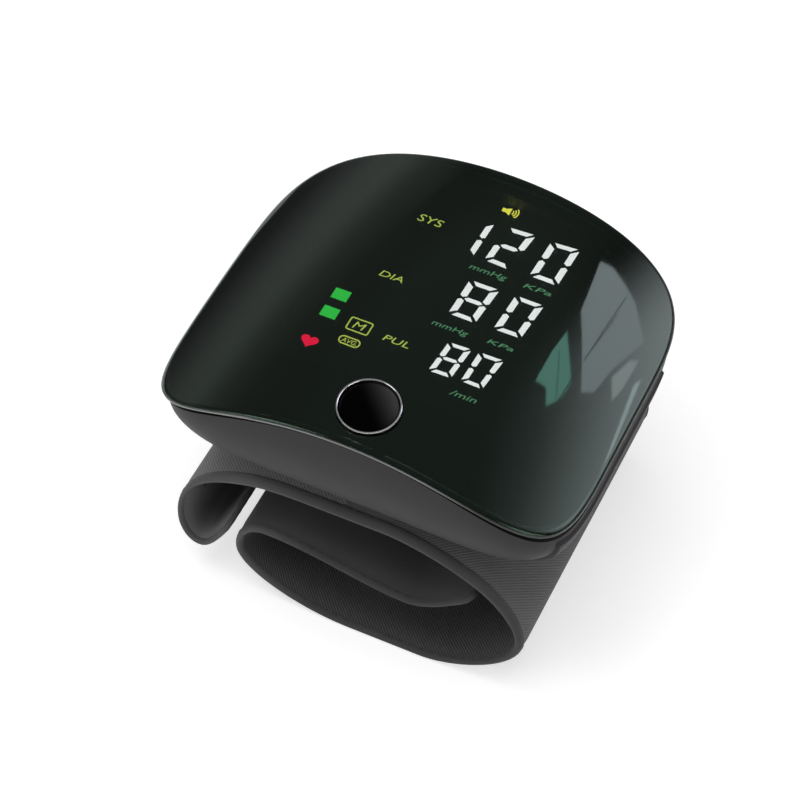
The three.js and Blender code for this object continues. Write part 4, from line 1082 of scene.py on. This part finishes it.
# Finishes of the solids that stay
nodeFinishes = {
    "darkPlastic": ["chassis_ring", "battery_tray", "pump_head", "tact_switch"],
    "cellSleeve": ["battery_cell_1", "battery_cell_2"],
    "plainSteel": ["battery_contact_1", "battery_contact_2", "battery_bridge_contact", "board_screw_1",
                   "board_screw_2", "board_screw_3", "board_screw_4", "speaker", "pump_motor",
                   "exhaust_valve"],
    "boardMask": ["main_board"],
    "displayBlack": ["display_module", "display_film"],
    "silicone": ["switch_plunger", "port_tube", "pump_tube", "valve_tube", "sensor_tube"],
    "whitePlastic": ["pressure_sensor", "air_manifold", "cuff_port", "tail_stiffener", "strap_shaper_plate",
                     "wrap_shaper_plate"],
    "bladderFilm": ["strap_bladder", "wrap_bladder"],
}
for finish, names in nodeFinishes.items():
    for name in names:
        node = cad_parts[name]
        node.data.materials.clear()
        node.data.materials.append(finishes[finish])

# Camera of the photograph: its place in millimetres, its axes, and the picture's side in pixels
view = {"place": (130.96, -286.06, 420.76), "right": (0.9032, 0.4292, 0.0), "up": (-0.3325, 0.6996, 0.6325),
        "back": (0.2715, -0.5712, 0.7746), "lens": 117.2, "sensor": 36, "pixels": 800, "clip": (0.02, 50)}


def buildCamera():
    lens = bpy.data.cameras.new("studioCamera")
    lens.lens, lens.sensor_width = view["lens"], view["sensor"]
    lens.clip_start, lens.clip_end = view["clip"]
    holder = linked("studioCamera", lens)
    turn = Matrix((view["right"], view["up"], view["back"])).transposed()
    holder.matrix_world = Matrix.Translation(Vector(view["place"]) * mm) @ turn.to_4x4()
    scene.camera = holder


floor = {"half": 6.0, "albedo": 0.62, "lift": 0.6}


def buildFloor():
    half = floor["half"]
    mesh = bpy.data.meshes.new("floor")
    corners = [(-half, -half, 0), (half, -half, 0), (half, half, 0), (-half, half, 0)]
    mesh.from_pydata(corners, [], [(0, 1, 2, 3)])
    ground = linked("floor", mesh)
    material = bpy.data.materials.new("palePaper")
    wire = freshTree(material)
    camera, gloss, through = wire.node("ShaderNodeLightPath").others(
        "Is Camera Ray", "Is Glossy Ray", "Is Transmission Ray")
    seen = wire.maths("MAXIMUM", wire.maths("MAXIMUM", camera, gloss), through)
    paper = wire.node("ShaderNodeBsdfDiffuse", None, {"Color": grey(floor["albedo"])})
    lift = wire.node("ShaderNodeEmission", None, {"Color": grey(1.0), "Strength": seen * floor["lift"]})
    wire.node("ShaderNodeAddShader", None, {0: paper, 1: lift}).endsIn("ShaderNodeOutputMaterial")
    mesh.materials.append(material)


lamps = {  # place and size in metres, power in watts, and whether gloss mirrors the lamp
    "overhead": {"place": (-0.05, -0.12, 1.0), "size": (0.75, 0.6), "power": 5.2, "mirrored": False},
    "frontLeft": {"place": (-0.7, -0.75, 0.62), "size": (0.6, 0.6), "power": 3.2, "mirrored": True},
    "rightFill": {"place": (0.95, -0.35, 0.5), "size": (0.6, 0.6), "power": 2.4, "mirrored": True},
}
lampAim = (0, 0, 0.03)
# The room: bright at the floor's edge and dark above, with a low soft strip on the left. Levels by height
studio = {"levels": [(0.0, 1.0), (0.012, 0.7), (0.035, 0.2), (0.3, 0.14), (0.485, 0.12), (0.616, 0.2),
                     (0.7, 0.28), (1.0, 0.28)],
          "leftLevels": [(0.0, 1.0), (0.012, 0.7), (0.035, 0.2), (0.1, 0.2), (0.2, 0.32), (0.29, 0.46),
                         (0.345, 0.38), (0.43, 0.24), (0.6, 0.22), (1.0, 0.26)],
          "leftFrom": -0.32, "leftFull": -0.62}


def buildLight():
    for name, lamp in lamps.items():
        light = bpy.data.lights.new(name, "AREA")
        light.shape, light.energy = "RECTANGLE", lamp["power"]
        light.size, light.size_y = lamp["size"]
        holder = linked(name, light)
        holder.location = lamp["place"]
        holder.rotation_mode = "QUATERNION"
        holder.rotation_quaternion = (Vector(lampAim) - Vector(lamp["place"])).to_track_quat("-Z", "Y")
        holder.visible_glossy = lamp["mirrored"]
    scene.world = bpy.data.worlds.new("studio")
    wire = freshTree(scene.world)
    x, _, height = wire.node("ShaderNodeTexCoord", out="Generated").axes()
    sky, leftSky = (wire.node("ShaderNodeValToRGB",
                              {"stops": [(place, grey(level)) for place, level in studio[key]]}, {0: height})
                    for key in ("levels", "leftLevels"))
    sky = x.rise(studio["leftFrom"], studio["leftFull"]).blendTo(sky, leftSky)
    wire.node("ShaderNodeBackground", None, {"Color": sky, "Strength": 1.0}).endsIn("ShaderNodeOutputWorld")


# A light card that nothing but gloss sees
def glowCard(name, mesh, colour=None):
    card = linked(name, mesh)
    material = bpy.data.materials.new(name)
    wire = freshTree(material)
    if colour is None:
        colour = wire.node("ShaderNodeAttribute", {"attribute_name": "glow"})
    light = wire.node("ShaderNodeEmission", None, {"Color": colour, "Strength": 1.0})
    light.endsIn("ShaderNodeOutputMaterial")
    mesh.materials.append(material)
    card.visible_camera = card.visible_diffuse = card.visible_shadow = card.visible_transmission = False


def levelAt(levels, height):
    return np.interp(height, *zip(*levels))


# A card on a dome about the housing: degrees round and up, with a glow for each of its points
def domeCard(name, rounds, ups, glowAt):
    rounds, ups = np.meshgrid(rounds, ups, indexing="ij")
    a, e = np.radians(rounds), np.radians(ups)
    way = np.stack([np.cos(e) * np.cos(a), np.cos(e) * np.sin(a), np.sin(e)], -1)
    points = window["away"] * way.reshape(-1, 3) + np.array(window["centre"])
    mesh = bpy.data.meshes.new(name)
    mesh.from_pydata(points.tolist(), [], gridFaces(*rounds.shape))
    glow = np.ones((rounds.size, 4))
    glow[:, :3] = glowAt(rounds, ups, way).reshape(-1, 3)
    mesh.attributes.new("glow", "FLOAT_COLOR", "POINT").data.foreach_set("color", glow.ravel())
    glowCard(name, mesh)


# A broad soft window to the back right: degrees round and up, and metres away
window = {"away": 1.1, "round": (2, 70), "up": (6, 58), "steps": (35, 29), "fullRound": (26, 50),
          "fadeRound": 66, "fullUp": (20, 22), "fadeUp": 46, "haze": 0.12, "hazeUp": (40, 56), "level": 3.3,
          "tint": (1.14, 1.0, 1.22), "centre": (0.015, 0.0, 0.062)}


def windowGlow(rounds, ups, way):
    level = softStep(rounds, window["round"][0], window["fullRound"][0])
    level = level * (1 - softStep(rounds, window["fullRound"][1], window["fadeRound"]))
    fall = (1 - window["haze"]) * (1 - softStep(ups, window["fullUp"][1], window["fadeUp"]))
    fall = fall + window["haze"] * (1 - softStep(ups, *window["hazeUp"]))
    level = level * softStep(ups, window["up"][0], window["fullUp"][0]) * fall
    room = levelAt(studio["levels"], way[..., 2])
    return room[..., None] + window["level"] * level[..., None] * np.array(window["tint"])


# A low soft strip to the back left, dark at its foot, which fades into the room at its sides
strip = {"round": (116, 127, 164, 176), "up": (-3.1, 30), "steps": (41, 73),
         "levels": [(-0.06, 0.07), (0.01, 0.11), (0.09, 0.235), (0.18, 0.43), (0.26, 0.52), (0.3, 0.49),
                    (0.39, 0.32), (0.5, 0.235)]}


def stripGlow(rounds, ups, way):
    begin, full, fade, end = strip["round"]
    share = softStep(rounds, begin, full) * (1 - softStep(rounds, fade, end))
    left = softStep(-way[..., 0], -studio["leftFrom"], -studio["leftFull"])
    height = way[..., 2]
    room = levelAt(studio["levels"], height) * (1 - left) + levelAt(studio["leftLevels"], height) * left
    level = room * (1 - share) + levelAt(strip["levels"], height) * share
    return np.repeat(level[..., None], 3, -1)


def buildCards():
    for name, card, glowAt in (("softWindow", window, windowGlow), ("softStrip", strip, stripGlow)):
        rounds = np.linspace(card["round"][0], card["round"][-1], card["steps"][0])
        domeCard(name, rounds, np.linspace(*card["up"], card["steps"][1]), glowAt)


# The window's clear panes, and the two ends of each thin bar before them, in pixels of the photograph
panes = {
    "tallPane": {"glow": (4.1, 3.6, 4.5), "outline": [(600.5, 261.5), (613, 267.5), (635, 302.5), (644, 342.5),
                 (612, 370), (594, 392.5), (581, 392.5), (581, 311)]},
    "greenPane": {"glow": (2.1, 3.6, 3.6), "outline": [(567, 331.5), (571, 383.5), (561, 399), (546, 406),
                  (546, 387.5), (535.5, 380.5), (552.5, 350.5)]},
    "smallPane": {"glow": (5.2, 4.6, 5.6), "outline": [(639, 360.5), (623, 388.5), (612, 401), (611.5, 377.5),
                  (630, 360.5)]},
    "sidePane": {"glow": (6.6, 5.9, 7.3), "outline": [(641, 379.5), (605, 467.5), (600, 474), (634, 384.5)]},
    "longBar": {"glow": (1.7, 1.5, 1.8), "ends": [(626.7, 296.7), (583.3, 361.7)]},
    "shortBar": {"glow": (2.2, 1.9, 2.3), "ends": [(617.3, 315.0), (591.7, 350.0)]},
    "lowBar": {"glow": (0.9, 0.8, 0.9), "ends": [(581.0, 364.5), (557.0, 403.0)]},
    "sideBar": {"glow": (1.2, 2.0, 2.0), "ends": [(559.5, 350.0), (556.0, 400.0)]},
}
# How far panes and bars are from the origin in metres, and half a bar's width in pixels
mirror = {"paneAway": 0.957, "barAway": 0.93, "barHalf": 0.65, "tries": 12}


# Follows the photograph's ray through a pixel to the cover, and its mirrored way on to a distance
def mirroredSpot(px, py, away):
    half, focal = view["pixels"] / 2, view["lens"] / view["sensor"] * view["pixels"]
    right, up, back = (Vector(view[key]) for key in ("right", "up", "back"))
    way = (right * (px - half) / focal + up * (half - py) / focal - back).normalized()
    spot = Vector(view["place"])
    for _ in range(mirror["tries"]):
        normal = archUp(spot.x, spot.y)
        above = spot.z - archHeight(spot.x, spot.y) - cover["top"]
        spot = spot - way * (above * normal.z / way.dot(normal))
    normal = archUp(spot.x, spot.y)
    way = way - normal * (2 * way.dot(normal))
    spot = spot * mm
    reach = spot.dot(way)
    return spot + way * (math.sqrt(reach * reach - spot.dot(spot) + away * away) - reach)


def barOutline(start, end):
    (x0, y0), (x1, y1) = start, end
    share = mirror["barHalf"] / math.hypot(x1 - x0, y1 - y0)
    dx, dy = (y0 - y1) * share, (x1 - x0) * share
    return [(x0 + dx, y0 + dy), (x1 + dx, y1 + dy), (x1 - dx, y1 - dy), (x0 - dx, y0 - dy)]


def buildPanes():
    for name, pane in panes.items():
        outline, away = pane.get("outline"), mirror["paneAway"]
        if outline is None:
            outline, away = barOutline(*pane["ends"]), mirror["barAway"]
        mesh = bpy.data.meshes.new(name)
        mesh.from_pydata([mirroredSpot(px, py, away) for px, py in outline], [], [tuple(range(len(outline)))])
        glowCard(name, mesh, shaded(pane["glow"]))


buildCamera()
buildFloor()
buildLight()
buildCards()
buildPanes()
scene.view_settings.view_transform = "Standard"
print("camera, floor and light set")
